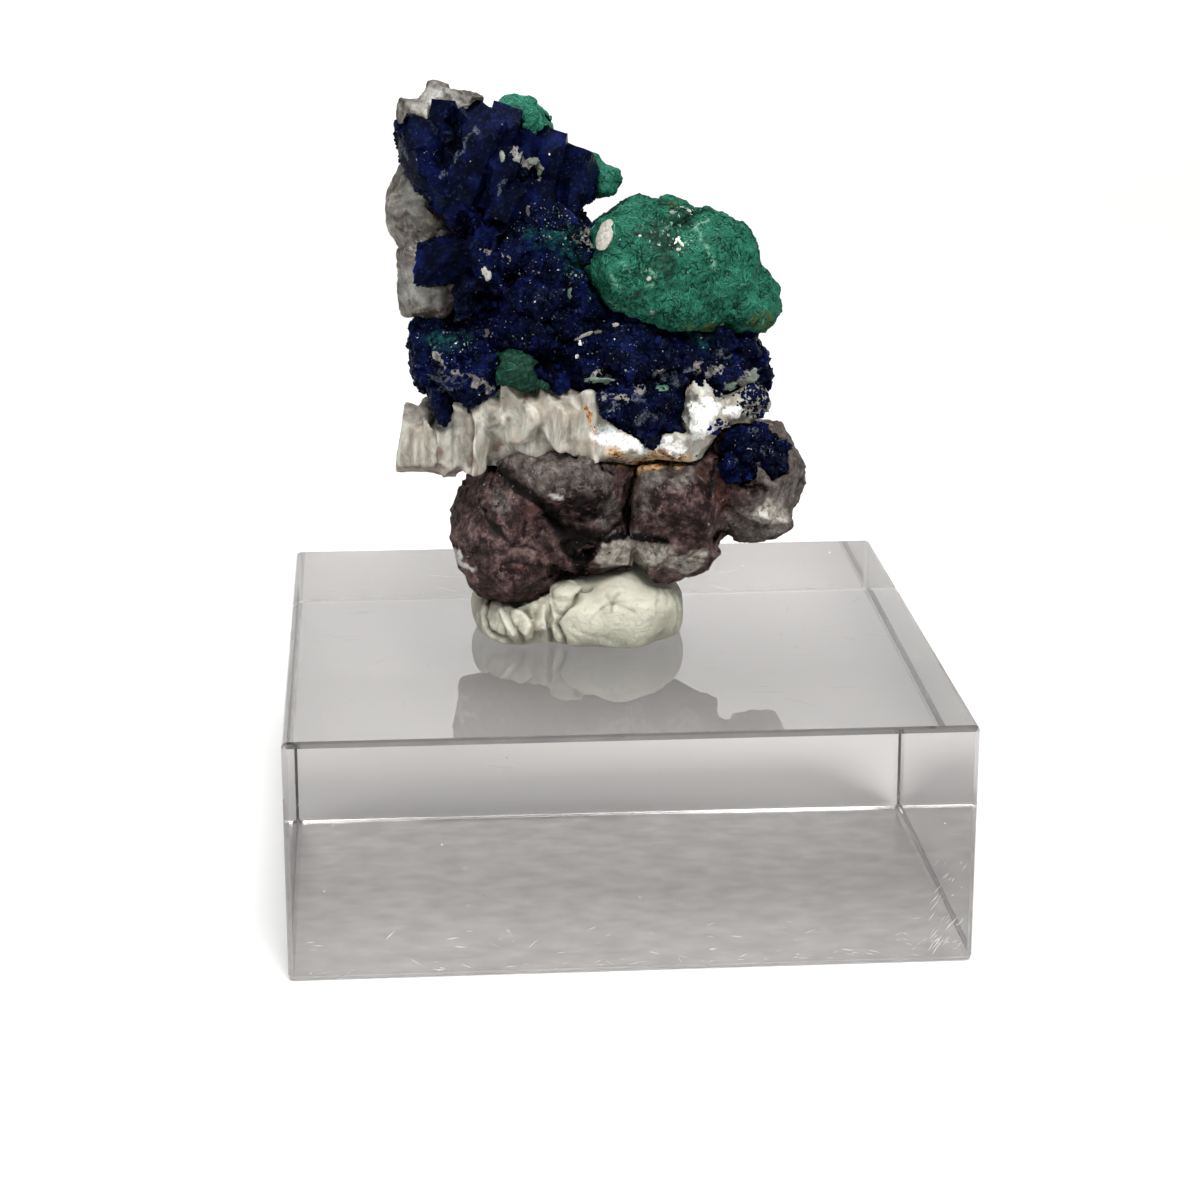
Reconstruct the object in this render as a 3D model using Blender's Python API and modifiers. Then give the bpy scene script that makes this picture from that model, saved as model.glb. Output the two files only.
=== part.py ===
"""Azurite and malachite specimen, fixed with a blob of mineral tack to a clear acrylic display block.

The specimen is a broken piece of purple-brown rock that carries a band of white columnar mineral. Dark blue
azurite crystals grow on the band and tower up at the left, a rounded green malachite mass sits at the right,
and grey crystals stand out at the left edge. The row frame has its origin under the middle of the block,
+X to the right, +Y to the back and +Z up. Everything above the block is modelled in the specimen's own
frame, in millimetres, with its origin where the tack meets the block's top.
"""

import math
import random

import bmesh
import bpy
from mathutils import Matrix, Vector, noise

MM = 0.001

BLOCK_SIDE = 50.8
BLOCK_HEIGHT = 18.5
BLOCK_CHAMFER = 0.4

SPECIMEN_PLACE = (-2.0, 1.5, BLOCK_HEIGHT)
SPECIMEN_TURN = -4.3

GAP = 0.32
CUBE_CORNER = 1.0
FACET_JITTER = 0.3

COLLECTION_NAME = "azurite_and_malachite_specimen"


def clear_scene():
    """Removes everything that a new Blender scene starts with."""
    for obj in list(bpy.data.objects):
        bpy.data.objects.remove(obj, do_unlink=True)


def make_collection(name):
    collection = bpy.data.collections.new(name)
    bpy.context.scene.collection.children.link(collection)
    return collection


def make_material(name, colour, roughness, transmission=0.0, ior=1.5):
    material = bpy.data.materials.new(name)
    material.use_nodes = True
    shader = material.node_tree.nodes["Principled BSDF"]
    shader.inputs["Base Color"].default_value = (*colour, 1.0)
    shader.inputs["Roughness"].default_value = roughness
    shader.inputs["Metallic"].default_value = 0.0
    shader.inputs["Transmission Weight"].default_value = transmission
    shader.inputs["IOR"].default_value = ior
    material.diffuse_color = (*colour, 1.0)
    return material


def object_from(name, bm, collection):
    """Turns a bmesh in millimetres into an object whose mesh is in metres."""
    bmesh.ops.scale(bm, vec=(MM, MM, MM), verts=bm.verts)
    bmesh.ops.recalc_face_normals(bm, faces=bm.faces)
    mesh = bpy.data.meshes.new(name)
    bm.to_mesh(mesh)
    bm.free()
    obj = bpy.data.objects.new(name, mesh)
    collection.objects.link(obj)
    return obj


def slice_off(bm, point, normal):
    """Removes what lies beyond a plane and closes the cut with one flat face."""
    everything = list(bm.verts) + list(bm.edges) + list(bm.faces)
    cut = bmesh.ops.bisect_plane(
        bm, geom=everything, plane_co=point, plane_no=normal, clear_outer=True, dist=1e-5
    )
    rim = [item for item in cut["geom_cut"] if isinstance(item, bmesh.types.BMEdge)]
    if len(rim) > 2:
        bmesh.ops.edgeloop_fill(bm, edges=rim)


def random_direction(rng):
    while True:
        direction = Vector((rng.uniform(-1, 1), rng.uniform(-1, 1), rng.uniform(-1, 1)))
        if 0.2 < direction.length < 1:
            return direction.normalized()


def spread_directions(count, jitter, rng):
    """Directions spread evenly over a sphere along a golden spiral, each shaken a little."""
    golden = math.pi * (3 - math.sqrt(5))
    for index in range(count):
        height = 1 - (2 * index + 1) / count
        ring = math.sqrt(1 - height * height)
        even = Vector((ring * math.cos(golden * index), ring * math.sin(golden * index), height))
        yield (even + jitter * random_direction(rng)).normalized()


def chunk(centre, radii, seed, facets=22, rough=0.1, grow=0.0):
    """A broken stone chunk: a convex solid of flat facets that touch an ellipsoid.

    Each facet is moved in or out by up to the share given by rough. A chunk grown by a distance has the
    same facets, all moved outwards by it.
    """
    rng = random.Random(seed)
    size = Vector(radii)
    bm = bmesh.new()
    bmesh.ops.create_cube(bm, size=2 * CUBE_CORNER)
    bmesh.ops.scale(bm, vec=size * (1 + rough) + Vector((grow, grow, grow)), verts=bm.verts)
    for normal in spread_directions(facets, FACET_JITTER, rng):
        support = Vector(normal[i] * size[i] for i in range(3)).length
        slice_off(bm, normal * (support * rng.uniform(1 - rough, 1 + rough * 0.5) + grow), normal)
    bmesh.ops.translate(bm, vec=centre, verts=bm.verts)
    return bm


def tilted(lean, spin):
    """Turns a crystal about its own length, then leans it to the right and to the front, in degrees."""
    right, front = (math.radians(angle) for angle in lean)
    return (
        Matrix.Rotation(right, 4, "Y")
        @ Matrix.Rotation(front, 4, "X")
        @ Matrix.Rotation(math.radians(spin), 4, "Z")
    )


def crystal(centre, half, turn, wedge=45.0, trim=0.3, grow=0.0):
    """A flat-faced azurite crystal: a prism with bevelled upright edges and a wedge at each end.

    half holds its half width, half depth and half length. wedge is the slope of the end faces, and trim the
    share of the width that the upright bevels take.
    """
    width, depth, length = (value + grow for value in half)
    bm = bmesh.new()
    bmesh.ops.create_cube(bm, size=2 * CUBE_CORNER)
    bmesh.ops.scale(bm, vec=(width, depth, length), verts=bm.verts)
    slope = math.radians(wedge)
    for end in (1, -1):
        for side in (1, -1):
            normal = Vector((side * math.sin(slope), 0.35 * side * end, end * math.cos(slope))).normalized()
            slice_off(bm, Vector((0.0, 0.0, end * length * 0.98)), normal)
    if trim:
        for side in (1, -1):
            for face in (1, -1):
                normal = Vector((side, face * width / depth, 0.0)).normalized()
                inset = 2 * width * trim * (0.6 if side * face > 0 else 1.0) - 0.4 * grow
                slice_off(bm, Vector((side * width, face * depth, 0.0)) - normal * inset, normal)
    bmesh.ops.transform(bm, matrix=Matrix.Translation(centre) @ turn, verts=bm.verts)
    return bm


def lump(centre, radii, seed, swell=0.12, size=2.2, detail=3):
    """A rounded knob: a sphere stretched to the radii, with soft noise that swells it unevenly."""
    bm = bmesh.new()
    bmesh.ops.create_icosphere(bm, subdivisions=detail, radius=1.0)
    offset = Vector((seed * 7.3, seed * 3.1, seed * 5.7))
    for vertex in bm.verts:
        direction = vertex.co.copy()
        point = Vector(direction[i] * radii[i] for i in range(3))
        push = noise.fractal(point / size + offset, 0.8, 2.1, 3)
        vertex.co = point * (1 + swell * push)
    bmesh.ops.translate(bm, vec=centre, verts=bm.verts)
    return bm


def freeze(obj):
    """Stores the evaluated shape in the object's own mesh and drops its modifiers."""
    bpy.context.view_layer.update()
    graph = bpy.context.evaluated_depsgraph_get()
    mesh = bpy.data.meshes.new_from_object(obj.evaluated_get(graph))
    obj.modifiers.clear()
    obj.data = mesh


def keep_largest_body(obj):
    """Drops the chips that a cut leaves loose, so that the piece is one body."""
    bm = bmesh.new()
    bm.from_mesh(obj.data)
    bodies = []
    unseen = set(bm.verts)
    while unseen:
        body = {unseen.pop()}
        front = list(body)
        while front:
            vertex = front.pop()
            for edge in vertex.link_edges:
                other = edge.other_vert(vertex)
                if other in unseen:
                    unseen.remove(other)
                    body.add(other)
                    front.append(other)
        bodies.append(body)
    largest = max(bodies, key=len)
    bmesh.ops.delete(bm, geom=[vertex for vertex in bm.verts if vertex not in largest], context="VERTS")
    bm.to_mesh(obj.data)
    bm.free()


def fuse(name, shapes, collection):
    """One solid from a list of overlapping shapes, by one exact union."""
    fused, *others = [object_from(name, shape, collection) for shape in shapes]
    fused.name = name
    if others:
        members = make_collection("members")
        for other in others:
            collection.objects.unlink(other)
            members.objects.link(other)
        union = fused.modifiers.new("union", "BOOLEAN")
        union.operation = "UNION"
        union.solver = "EXACT"
        union.operand_type = "COLLECTION"
        union.collection = members
        freeze(fused)
        for other in others:
            bpy.data.objects.remove(other, do_unlink=True)
        bpy.data.collections.remove(members)
        keep_largest_body(fused)
    return fused


def make_cutter(name, shapes, cutters):
    """A fused solid that only cuts others, and is never shown."""
    cutter = fuse(name, shapes, cutters)
    cutter.hide_render = True
    cutter.display_type = "WIRE"
    return cutter


def carve(piece, cutter):
    """Cuts a cutter from a piece, by one exact difference."""
    cut = piece.modifiers.new("fit", "BOOLEAN")
    cut.operation = "DIFFERENCE"
    cut.solver = "EXACT"
    cut.object = cutter
    freeze(piece)
    keep_largest_body(piece)


def weather(obj, voxel, depth, grain, triangles, seed):
    """Remeshes a solid evenly, roughens it with noise and brings it down to a number of triangles."""
    remesh = obj.modifiers.new("even_mesh", "REMESH")
    remesh.mode = "VOXEL"
    remesh.voxel_size = voxel * MM
    freeze(obj)
    offset = Vector((seed * 2.7, seed * 9.1, seed * 4.3))
    bm = bmesh.new()
    bm.from_mesh(obj.data)
    bm.normal_update()
    pushes = []
    for vertex in bm.verts:
        point = vertex.co / (grain * MM) + offset
        pushes.append(vertex.normal * noise.fractal(point, 0.9, 2.0, 4) * depth * MM)
    for vertex, push in zip(bm.verts, pushes):
        vertex.co += push
    bmesh.ops.triangulate(bm, faces=bm.faces)
    bm.to_mesh(obj.data)
    bm.free()
    thin = obj.modifiers.new("fewer_faces", "DECIMATE")
    thin.ratio = min(1.0, triangles / len(obj.data.polygons))
    freeze(obj)


# Rock under the specimen: centre, radii, seed and number of facets of each chunk
ROCK_CHUNKS = (
    ((-5.0, 0.2, 8.8), (5.1, 6.4, 5.0), 11, 26),
    ((-5.1, -2.8, 7.0), (4.2, 3.9, 3.5), 12, 22),
    ((-1.2, -3.7, 12.9), (5.5, 3.5, 3.3), 13, 20),
    ((0.4, -1.7, 9.0), (4.4, 4.6, 3.8), 14, 20),
    ((7.6, -1.6, 11.0), (4.6, 5.2, 4.3), 15, 24),
    ((7.6, -1.3, 7.7), (4.1, 4.5, 2.9), 16, 20),
    ((-0.6, 3.4, 9.4), (8.0, 4.4, 5.2), 17, 26),
    ((13.8, -0.6, 12.9), (3.7, 4.6, 4.5), 18, 26),
    ((14.0, -1.4, 9.7), (2.7, 3.2, 2.1), 19, 16),
    ((11.0, 0.4, 14.0), (4.0, 4.4, 3.8), 20, 14),
    ((7.5, 1.6, 14.6), (6.0, 4.2, 2.6), 21, 12),
    ((-4.0, 1.5, 13.6), (5.0, 5.0, 2.6), 22, 12),
)
ROCK_CRACK = ((3.7, -7.4, 10.8), (0.35, 4.0, 3.6), 23, 10)
ROCK_HOLLOW = ((0.6, -7.9, 7.4), (2.4, 2.4, 0.9), 24, 10)

# White mineral: upright columns, each with its centre, half sizes, lean in degrees and seed
WHITE_COLUMNS = (
    ((-12.8, -1.0, 15.6), (1.5, 2.3, 3.0), 7, 31),
    ((-11.1, -1.8, 15.4), (1.2, 2.4, 2.7), -2, 32),
    ((-9.6, -2.0, 15.7), (1.1, 2.5, 2.8), 3, 33),
    ((-8.1, -2.6, 16.9), (1.0, 3.0, 3.0), 4, 34),
    ((-6.2, -2.8, 18.3), (1.6, 3.1, 2.6), 6, 35),
    ((-3.9, -3.3, 18.5), (2.3, 3.1, 2.8), -3, 36),
    ((-1.2, -3.5, 18.5), (2.2, 3.0, 2.9), 4, 37),
    ((0.9, -3.1, 17.9), (1.8, 3.0, 2.8), -4, 38),
)
WHITE_CHUNKS = (
    ((3.4, -3.4, 16.5), (3.4, 3.2, 1.9), 41, 18),
    ((7.2, -3.2, 16.9), (3.4, 3.0, 1.8), 42, 18),
    ((9.4, -4.0, 18.8), (1.9, 1.9, 2.7), 43, 16),
    ((12.4, -2.2, 19.3), (2.3, 2.4, 2.0), 44, 16),
    ((-3.0, 0.8, 17.2), (8.6, 5.4, 3.0), 45, 12),
    ((5.0, 1.0, 17.0), (7.0, 4.4, 2.5), 46, 12),
    ((-10.6, 0.9, 16.2), (2.6, 2.8, 2.4), 47, 12),
)

# Azurite: the body that the crystals grow from, with the number and half width of the small ones on it
AZURITE_CORES = (
    ((-6.6, 0.8, 36.4), (5.2, 3.8, 4.9), 51, 20, 4, (0.7, 1.1)),
    ((-3.9, 0.2, 29.8), (4.7, 5.2, 6.2), 52, 20, 24, (0.9, 1.35)),
    ((-9.4, -0.4, 21.8), (3.0, 4.8, 3.0), 53, 18, 8, (0.8, 1.2)),
    ((-2.2, -0.4, 23.8), (6.6, 5.0, 3.6), 54, 18, 15, (0.9, 1.35)),
    ((4.6, -0.8, 22.4), (5.8, 5.2, 3.0), 55, 18, 19, (0.85, 1.3)),
    ((11.0, -0.6, 22.0), (3.4, 4.4, 2.3), 56, 14, 8, (0.75, 1.15)),
    ((4.9, -4.6, 19.4), (2.9, 2.0, 2.5), 57, 14, 8, (0.7, 1.1)),
)

# The large crystals: centre, half sizes, lean to the right and to the front, spin
AZURITE_CRYSTALS = (
    ((-12.0, -2.0, 38.5), (1.7, 1.6, 2.7), (6, 8), 35),
    ((-12.9, -0.4, 38.9), (1.1, 1.5, 2.2), (-4, 0), 20),
    ((-10.2, -2.0, 40.1), (1.1, 1.3, 2.5), (-3, 6), 30),
    ((-9.2, -2.6, 39.0), (1.2, 1.3, 3.0), (8, 8), -20),
    ((-7.9, -3.2, 37.9), (2.1, 1.8, 4.5), (20, 12), 20),
    ((-6.0, -2.4, 39.6), (1.4, 1.5, 2.7), (14, 6), 40),
    ((-10.6, -3.2, 36.1), (1.3, 1.4, 3.7), (-44, 10), 15),
    ((-8.9, -3.2, 33.7), (1.3, 1.4, 2.9), (-42, 8), 50),
    ((-5.7, -3.8, 37.2), (1.5, 1.4, 2.5), (12, 16), 35),
    ((-4.2, -2.4, 38.7), (1.4, 1.5, 1.8), (-10, 8), 10),
    ((-2.3, -1.6, 38.1), (1.3, 1.6, 2.2), (8, 4), 30),
    ((-0.4, -1.4, 36.2), (1.6, 2.1, 2.8), (6, 6), 15),
    ((-5.4, -4.4, 34.6), (1.5, 1.3, 2.5), (26, 18), 10),
    ((-2.8, -3.8, 34.8), (1.5, 1.4, 2.2), (-8, 20), 40),
    ((-10.3, -4.3, 30.5), (2.4, 1.5, 2.6), (45, 6), 4),
    ((-7.2, -4.4, 31.0), (1.5, 1.4, 2.6), (-12, 10), 30),
    ((-8.1, -4.2, 28.2), (1.5, 1.4, 2.1), (30, 12), 20),
    ((-4.6, -4.6, 31.7), (1.5, 1.3, 1.9), (18, 14), 30),
    ((-2.0, -4.4, 30.4), (1.4, 1.3, 1.8), (-22, 12), 10),
    ((-5.2, -4.7, 28.7), (1.4, 1.3, 1.7), (-12, 10), 45),
    ((-1.4, -3.6, 33.0), (1.3, 1.3, 1.6), (24, 10), 25),
    ((-2.6, -4.8, 27.6), (1.4, 1.2, 1.6), (30, 6), 35),
    ((-11.9, -1.4, 22.7), (1.4, 2.1, 2.9), (4, 4), 20),
    ((-9.8, -3.9, 22.5), (1.8, 1.6, 2.7), (-6, 12), 40),
    ((-7.6, -4.4, 21.7), (1.5, 1.4, 2.4), (12, 14), 10),
    ((-10.9, -3.4, 19.8), (0.9, 1.1, 2.0), (-6, 6), 30),
    ((-9.7, 3.2, 24.4), (2.0, 1.8, 3.0), (-14, -20), 10),
    ((-6.2, 4.0, 34.0), (1.9, 1.6, 3.4), (12, -18), 30),
    ((-2.2, 4.6, 30.6), (1.8, 1.6, 3.0), (4, -24), 15),
    ((-8.2, 3.6, 38.2), (1.7, 1.5, 3.0), (-14, -14), 40),
    ((2.8, 4.2, 25.2), (1.9, 1.7, 2.7), (20, -30), 25),
    ((13.0, -1.8, 22.0), (1.5, 1.8, 1.8), (35, 8), 20),
)
DRUSE_SEED = 5
DRUSE_IN_FRONT = 0.6

# Azurite that grows on the rock at the right, apart from the main mass
PATCH_CORES = (
    ((13.2, -3.8, 15.9), (2.2, 1.0, 1.3), 58, 12, 4, (0.4, 0.6)),
    ((14.8, -3.7, 15.0), (1.3, 1.0, 1.5), 69, 12, 3, (0.4, 0.6)),
    ((12.4, -4.1, 14.4), (1.5, 1.0, 1.0), 68, 12, 3, (0.4, 0.6)),
)

# Grey crystals at the left edge and at the top
GREY_SIDE_CHUNKS = (
    ((-12.0, 0.4, 34.1), (2.7, 3.3, 3.7), 61, 20),
    ((-11.5, 0.0, 28.7), (2.7, 3.3, 3.6), 62, 18),
    ((-9.6, 0.8, 31.0), (2.4, 3.0, 3.4), 63, 12),
)
GREY_TOP_CHUNKS = (
    ((-12.3, 0.0, 40.8), (1.7, 1.9, 1.3), 64, 16),
    ((-11.1, 0.8, 42.0), (1.2, 1.4, 1.5), 65, 14),
    ((-9.0, 0.8, 41.7), (1.6, 1.5, 1.2), 66, 14),
)

# Malachite: centre, radii and seed of each rounded lump
MALACHITE_MASS = (
    ((4.9, -0.6, 30.0), (5.2, 5.4, 4.5), 71),
    ((9.5, -0.4, 29.3), (4.6, 5.0, 4.5), 72),
    ((12.9, -0.4, 26.5), (2.8, 3.8, 2.8), 73),
    ((7.2, -1.6, 27.2), (5.2, 4.1, 3.0), 74),
)
MALACHITE_TUFT = (
    ((-4.7, -0.4, 40.9), (2.2, 2.2, 1.8), 75),
    ((-3.4, -0.2, 40.1), (1.4, 1.9, 1.4), 76),
)
MALACHITE_BEAD = (
    ((1.5, -0.3, 36.2), (1.6, 1.6, 1.5), 77),
    ((0.1, 0.3, 37.5), (1.6, 1.5, 0.9), 78),
)
MALACHITE_PATCH = (
    ((-4.9, -4.6, 22.2), (2.3, 1.9, 1.7), 79),
    ((-2.2, -4.6, 21.4), (1.5, 1.7, 0.9), 80),
)

# Tack: rounded folds of one squashed blob, centre, radii and seed
TACK_FOLDS = (
    ((3.3, -0.9, 1.9), (5.0, 6.3, 3.7), 91),
    ((-0.2, -0.7, 1.9), (3.4, 6.2, 3.4), 92),
    ((-4.4, -0.8, 1.6), (3.6, 5.8, 2.7), 93),
    ((-6.8, -0.2, 1.7), (2.1, 4.8, 2.5), 94),
)
TACK_FOOT = 0.3
ROCK_FOOT = 6.0


def make_block(collection):
    """The clear display block, polished, with a small chamfer on every edge."""
    bpy.ops.mesh.primitive_cube_add(size=1.0, location=(0.0, 0.0, BLOCK_HEIGHT * MM / 2))
    block = bpy.context.object
    block.name = "clear_block"
    block.data.transform(Matrix.Diagonal((BLOCK_SIDE * MM, BLOCK_SIDE * MM, BLOCK_HEIGHT * MM, 1.0)))
    bevel = block.modifiers.new("chamfer", "BEVEL")
    bevel.width = BLOCK_CHAMFER * MM
    bevel.segments = 2
    for holder in list(block.users_collection):
        holder.objects.unlink(block)
    collection.objects.link(block)
    return block


def druse(core, grow):
    """Small crystals that stand out all over a core, each leaning a little from the surface."""
    centre, radii, seed, _, count, half_range = core
    rng = random.Random(DRUSE_SEED * 100 + seed)
    size = Vector(radii)
    shapes = []
    for outward in spread_directions(count, 0.5, rng):
        if rng.random() < DRUSE_IN_FRONT:
            outward.y = -abs(outward.y)
        surface = Vector(centre) + Vector(outward[i] * size[i] * 0.93 for i in range(3))
        lean = (outward + 0.5 * random_direction(rng)).normalized()
        half = rng.uniform(*half_range)
        sizes = (half, half * rng.uniform(0.6, 0.9), half * 1.6)
        turn = lean.to_track_quat("Z", "Y").to_matrix().to_4x4()
        shapes.append(crystal(surface, sizes, turn, trim=0.0, grow=grow))
    return shapes


def azurite_shapes(grow=0.0):
    """The blue mass: its cores, its large crystals and the druse on it."""
    shapes = [chunk(*core[:4], grow=grow) for core in AZURITE_CORES]
    for centre, half, lean, spin in AZURITE_CRYSTALS:
        shapes.append(crystal(centre, half, tilted(lean, spin), grow=grow))
    for core in AZURITE_CORES:
        shapes += druse(core, grow)
    return shapes


def patch_shapes(grow=0.0):
    """The small azurite cluster on the rock at the right."""
    shapes = [chunk(*core[:4], grow=grow) for core in PATCH_CORES]
    for core in PATCH_CORES:
        shapes += druse(core, grow)
    return shapes


def column(centre, half, lean, seed, grow):
    """An upright column of white mineral with blunt, broken ends, a little wider at its foot."""
    rng = random.Random(seed)
    size = [value + grow for value in half]
    bm = bmesh.new()
    bmesh.ops.create_cone(bm, cap_ends=True, segments=6, radius1=1.1, radius2=0.96, depth=2.0)
    bmesh.ops.scale(bm, vec=(size[0] * 1.08, size[1] * 1.08, size[2]), verts=bm.verts)
    for end in (1, -1):
        for _ in range(2):
            tilt = rng.uniform(0.35, 0.8)
            spin = rng.uniform(0, 2 * math.pi)
            normal = Vector((tilt * math.cos(spin), tilt * math.sin(spin), end)).normalized()
            slice_off(bm, Vector((0, 0, end * (size[2] - 0.25 * half[0]))), normal)
    place = Matrix.Translation(centre) @ Matrix.Rotation(math.radians(lean), 4, "Y")
    bmesh.ops.transform(bm, matrix=place, verts=bm.verts)
    return bm


def white_shapes(grow=0.0):
    """The pale band: columns along its front and left end, over broken white mineral behind."""
    shapes = [chunk(*row, grow=grow) for row in WHITE_CHUNKS]
    return shapes + [column(*row, grow) for row in WHITE_COLUMNS]


def chunks(table):
    return [chunk(*row) for row in table]


def lumps(table):
    return [lump(*row) for row in table]


def make_rock(collection, cutters, growths):
    """The broken brown rock, cracked, and hollowed where the azurite and the white band sit in it."""
    rock = fuse("matrix_rock", chunks(ROCK_CHUNKS), collection)
    for name, row in (("crack_cutter", ROCK_CRACK), ("hollow_cutter", ROCK_HOLLOW)):
        carve(rock, make_cutter(name, chunks([row]), cutters))
    for growth in growths:
        carve(rock, growth)
    return rock


def make_tack(collection, cutters):
    """The pale tack: soft folds pressed together, flat underneath and dented by the chunks of the rock's foot."""
    tack = fuse("mineral_tack", lumps(TACK_FOLDS), collection)
    weather(tack, 0.5, 0.2, 3.0, 440, 95)
    below = bmesh.new()
    bmesh.ops.create_cube(below, size=2 * CUBE_CORNER)
    bmesh.ops.scale(below, vec=(30, 30, 5), verts=below.verts)
    bmesh.ops.translate(below, vec=(0, 0, TACK_FOOT - 5), verts=below.verts)
    carve(tack, make_cutter("foot_cutter", [below], cutters))
    foot = [chunk(*row, grow=GAP) for row in ROCK_CHUNKS if row[0][2] - row[1][2] < ROCK_FOOT]
    carve(tack, make_cutter("rock_room", foot, cutters))
    return tack


def make_specimen(collection):
    """Every piece above the block, in the specimen's own frame. Azurite cuts its way into the rest."""
    cutters = make_collection("cutters")
    azurite_room = make_cutter("azurite_room", azurite_shapes(GAP), cutters)
    patch_room = make_cutter("patch_room", patch_shapes(GAP), cutters)
    white_room = make_cutter("white_room", white_shapes(GAP), cutters)
    pieces = {
        "azurite_crystals": fuse("azurite_crystals", azurite_shapes(), collection),
        "azurite_patch": fuse("azurite_patch", patch_shapes(), collection),
        "white_band": fuse("white_band", white_shapes(), collection),
        "matrix_rock": make_rock(collection, cutters, (white_room, azurite_room, patch_room)),
        "grey_crystals_side": fuse("grey_crystals_side", chunks(GREY_SIDE_CHUNKS), collection),
        "grey_crystals_top": fuse("grey_crystals_top", chunks(GREY_TOP_CHUNKS), collection),
    }
    carve(pieces["white_band"], patch_room)
    for name, table, triangles in (
        ("malachite_mass", MALACHITE_MASS, 400),
        ("malachite_tuft", MALACHITE_TUFT, 170),
        ("malachite_bead", MALACHITE_BEAD, 150),
        ("malachite_patch", MALACHITE_PATCH, 150),
    ):
        pieces[name] = fuse(name, lumps(table), collection)
        weather(pieces[name], 0.35, 0.28, 1.6, triangles, 81)
    for name in ("white_band", "grey_crystals_side", "grey_crystals_top"):
        carve(pieces[name], azurite_room)
    for name in ("malachite_mass", "malachite_tuft", "malachite_bead", "malachite_patch"):
        carve(pieces[name], azurite_room)
    carve(pieces["malachite_patch"], white_room)
    pieces["mineral_tack"] = make_tack(collection, cutters)
    return pieces


def main():
    clear_scene()
    collection = make_collection(COLLECTION_NAME)
    materials = {
        "acrylic": make_material("acrylic", (0.93, 0.95, 0.95), 0.03, transmission=1.0, ior=1.49),
        "tack": make_material("tack", (0.66, 0.65, 0.55), 0.6),
        "brown_rock": make_material("brown_rock", (0.16, 0.11, 0.11), 0.85),
        "white_mineral": make_material("white_mineral", (0.62, 0.59, 0.53), 0.55),
        "azurite": make_material("azurite", (0.012, 0.02, 0.16), 0.25),
        "malachite": make_material("malachite", (0.02, 0.27, 0.14), 0.5),
        "grey_crystal": make_material("grey_crystal", (0.34, 0.31, 0.28), 0.4),
    }
    make_block(collection).data.materials.append(materials["acrylic"])
    specimen_frame = bpy.data.objects.new("specimen_frame", None)
    collection.objects.link(specimen_frame)
    specimen_frame.location = Vector(SPECIMEN_PLACE) * MM
    specimen_frame.rotation_euler = (0.0, 0.0, math.radians(SPECIMEN_TURN))
    finishes = {
        "azurite_crystals": "azurite",
        "azurite_patch": "azurite",
        "white_band": "white_mineral",
        "matrix_rock": "brown_rock",
        "grey_crystals_side": "grey_crystal",
        "grey_crystals_top": "grey_crystal",
        "mineral_tack": "tack",
    }
    for name, piece in make_specimen(collection).items():
        piece.parent = specimen_frame
        piece.data.materials.clear()
        piece.data.materials.append(materials[finishes.get(name, "malachite")])


main()
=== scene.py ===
"""Azurite and malachite specimen, fixed with mineral tack to a clear block: its looks, around its solids.

Each mineral solid is put on a fine even grid, weathered in code, and set with its crystals, fibres or grains.
Lengths are in millimetres in the specimen's own frame, whose origin is where the tack meets the block's top.
Places named by two numbers are points of the photograph, in pixels of its 1200 by 1200 frame.
"""

import itertools
import math

import bmesh
import bpy
import numpy as np
from mathutils import Matrix, Vector
from mathutils.bvhtree import BVHTree


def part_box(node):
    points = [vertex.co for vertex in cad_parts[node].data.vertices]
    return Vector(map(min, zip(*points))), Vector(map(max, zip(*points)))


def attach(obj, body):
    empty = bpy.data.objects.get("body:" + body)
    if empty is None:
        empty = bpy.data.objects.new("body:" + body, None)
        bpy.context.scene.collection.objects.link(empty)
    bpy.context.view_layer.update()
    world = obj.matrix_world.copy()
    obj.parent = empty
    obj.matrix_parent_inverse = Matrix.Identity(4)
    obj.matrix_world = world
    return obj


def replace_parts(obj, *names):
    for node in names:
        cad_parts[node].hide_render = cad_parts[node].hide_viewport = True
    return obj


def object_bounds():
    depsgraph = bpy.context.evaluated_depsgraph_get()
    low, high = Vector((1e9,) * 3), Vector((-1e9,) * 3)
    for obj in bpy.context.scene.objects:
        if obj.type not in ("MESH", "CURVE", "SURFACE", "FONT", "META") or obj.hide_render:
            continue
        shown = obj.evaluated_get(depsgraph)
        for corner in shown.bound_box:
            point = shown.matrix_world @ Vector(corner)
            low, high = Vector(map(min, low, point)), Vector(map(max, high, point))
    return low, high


MM = 0.001
SPECIMEN_PLACE = np.array((-2.0, 1.5, 18.5))
SPECIMEN_TURN = math.radians(-4.3)
SPECIMEN_AXES = np.array((
    (math.cos(SPECIMEN_TURN), -math.sin(SPECIMEN_TURN), 0.0),
    (math.sin(SPECIMEN_TURN), math.cos(SPECIMEN_TURN), 0.0),
    (0.0, 0.0, 1.0),
))

EYE = np.array((-17.81, -228.59, 90.29))
AZIMUTH, ELEVATION = math.radians(-4.32), math.radians(16.8)
LENS, SENSOR = 89.7, 36.0
PHOTO_SIZE = 1200
PIXELS_PER_MM = 12.7
OCTREE_DEPTH = 8
BACK = np.array((
    math.sin(AZIMUTH) * math.cos(ELEVATION), -math.cos(AZIMUTH) * math.cos(ELEVATION), math.sin(ELEVATION)
))
RIGHT = np.array((math.cos(AZIMUTH), math.sin(AZIMUTH), 0.0))
UP = np.cross(BACK, RIGHT)
TOWARDS_CAMERA = BACK @ SPECIMEN_AXES
EYE_PLACE = (EYE - SPECIMEN_PLACE) @ SPECIMEN_AXES

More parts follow.
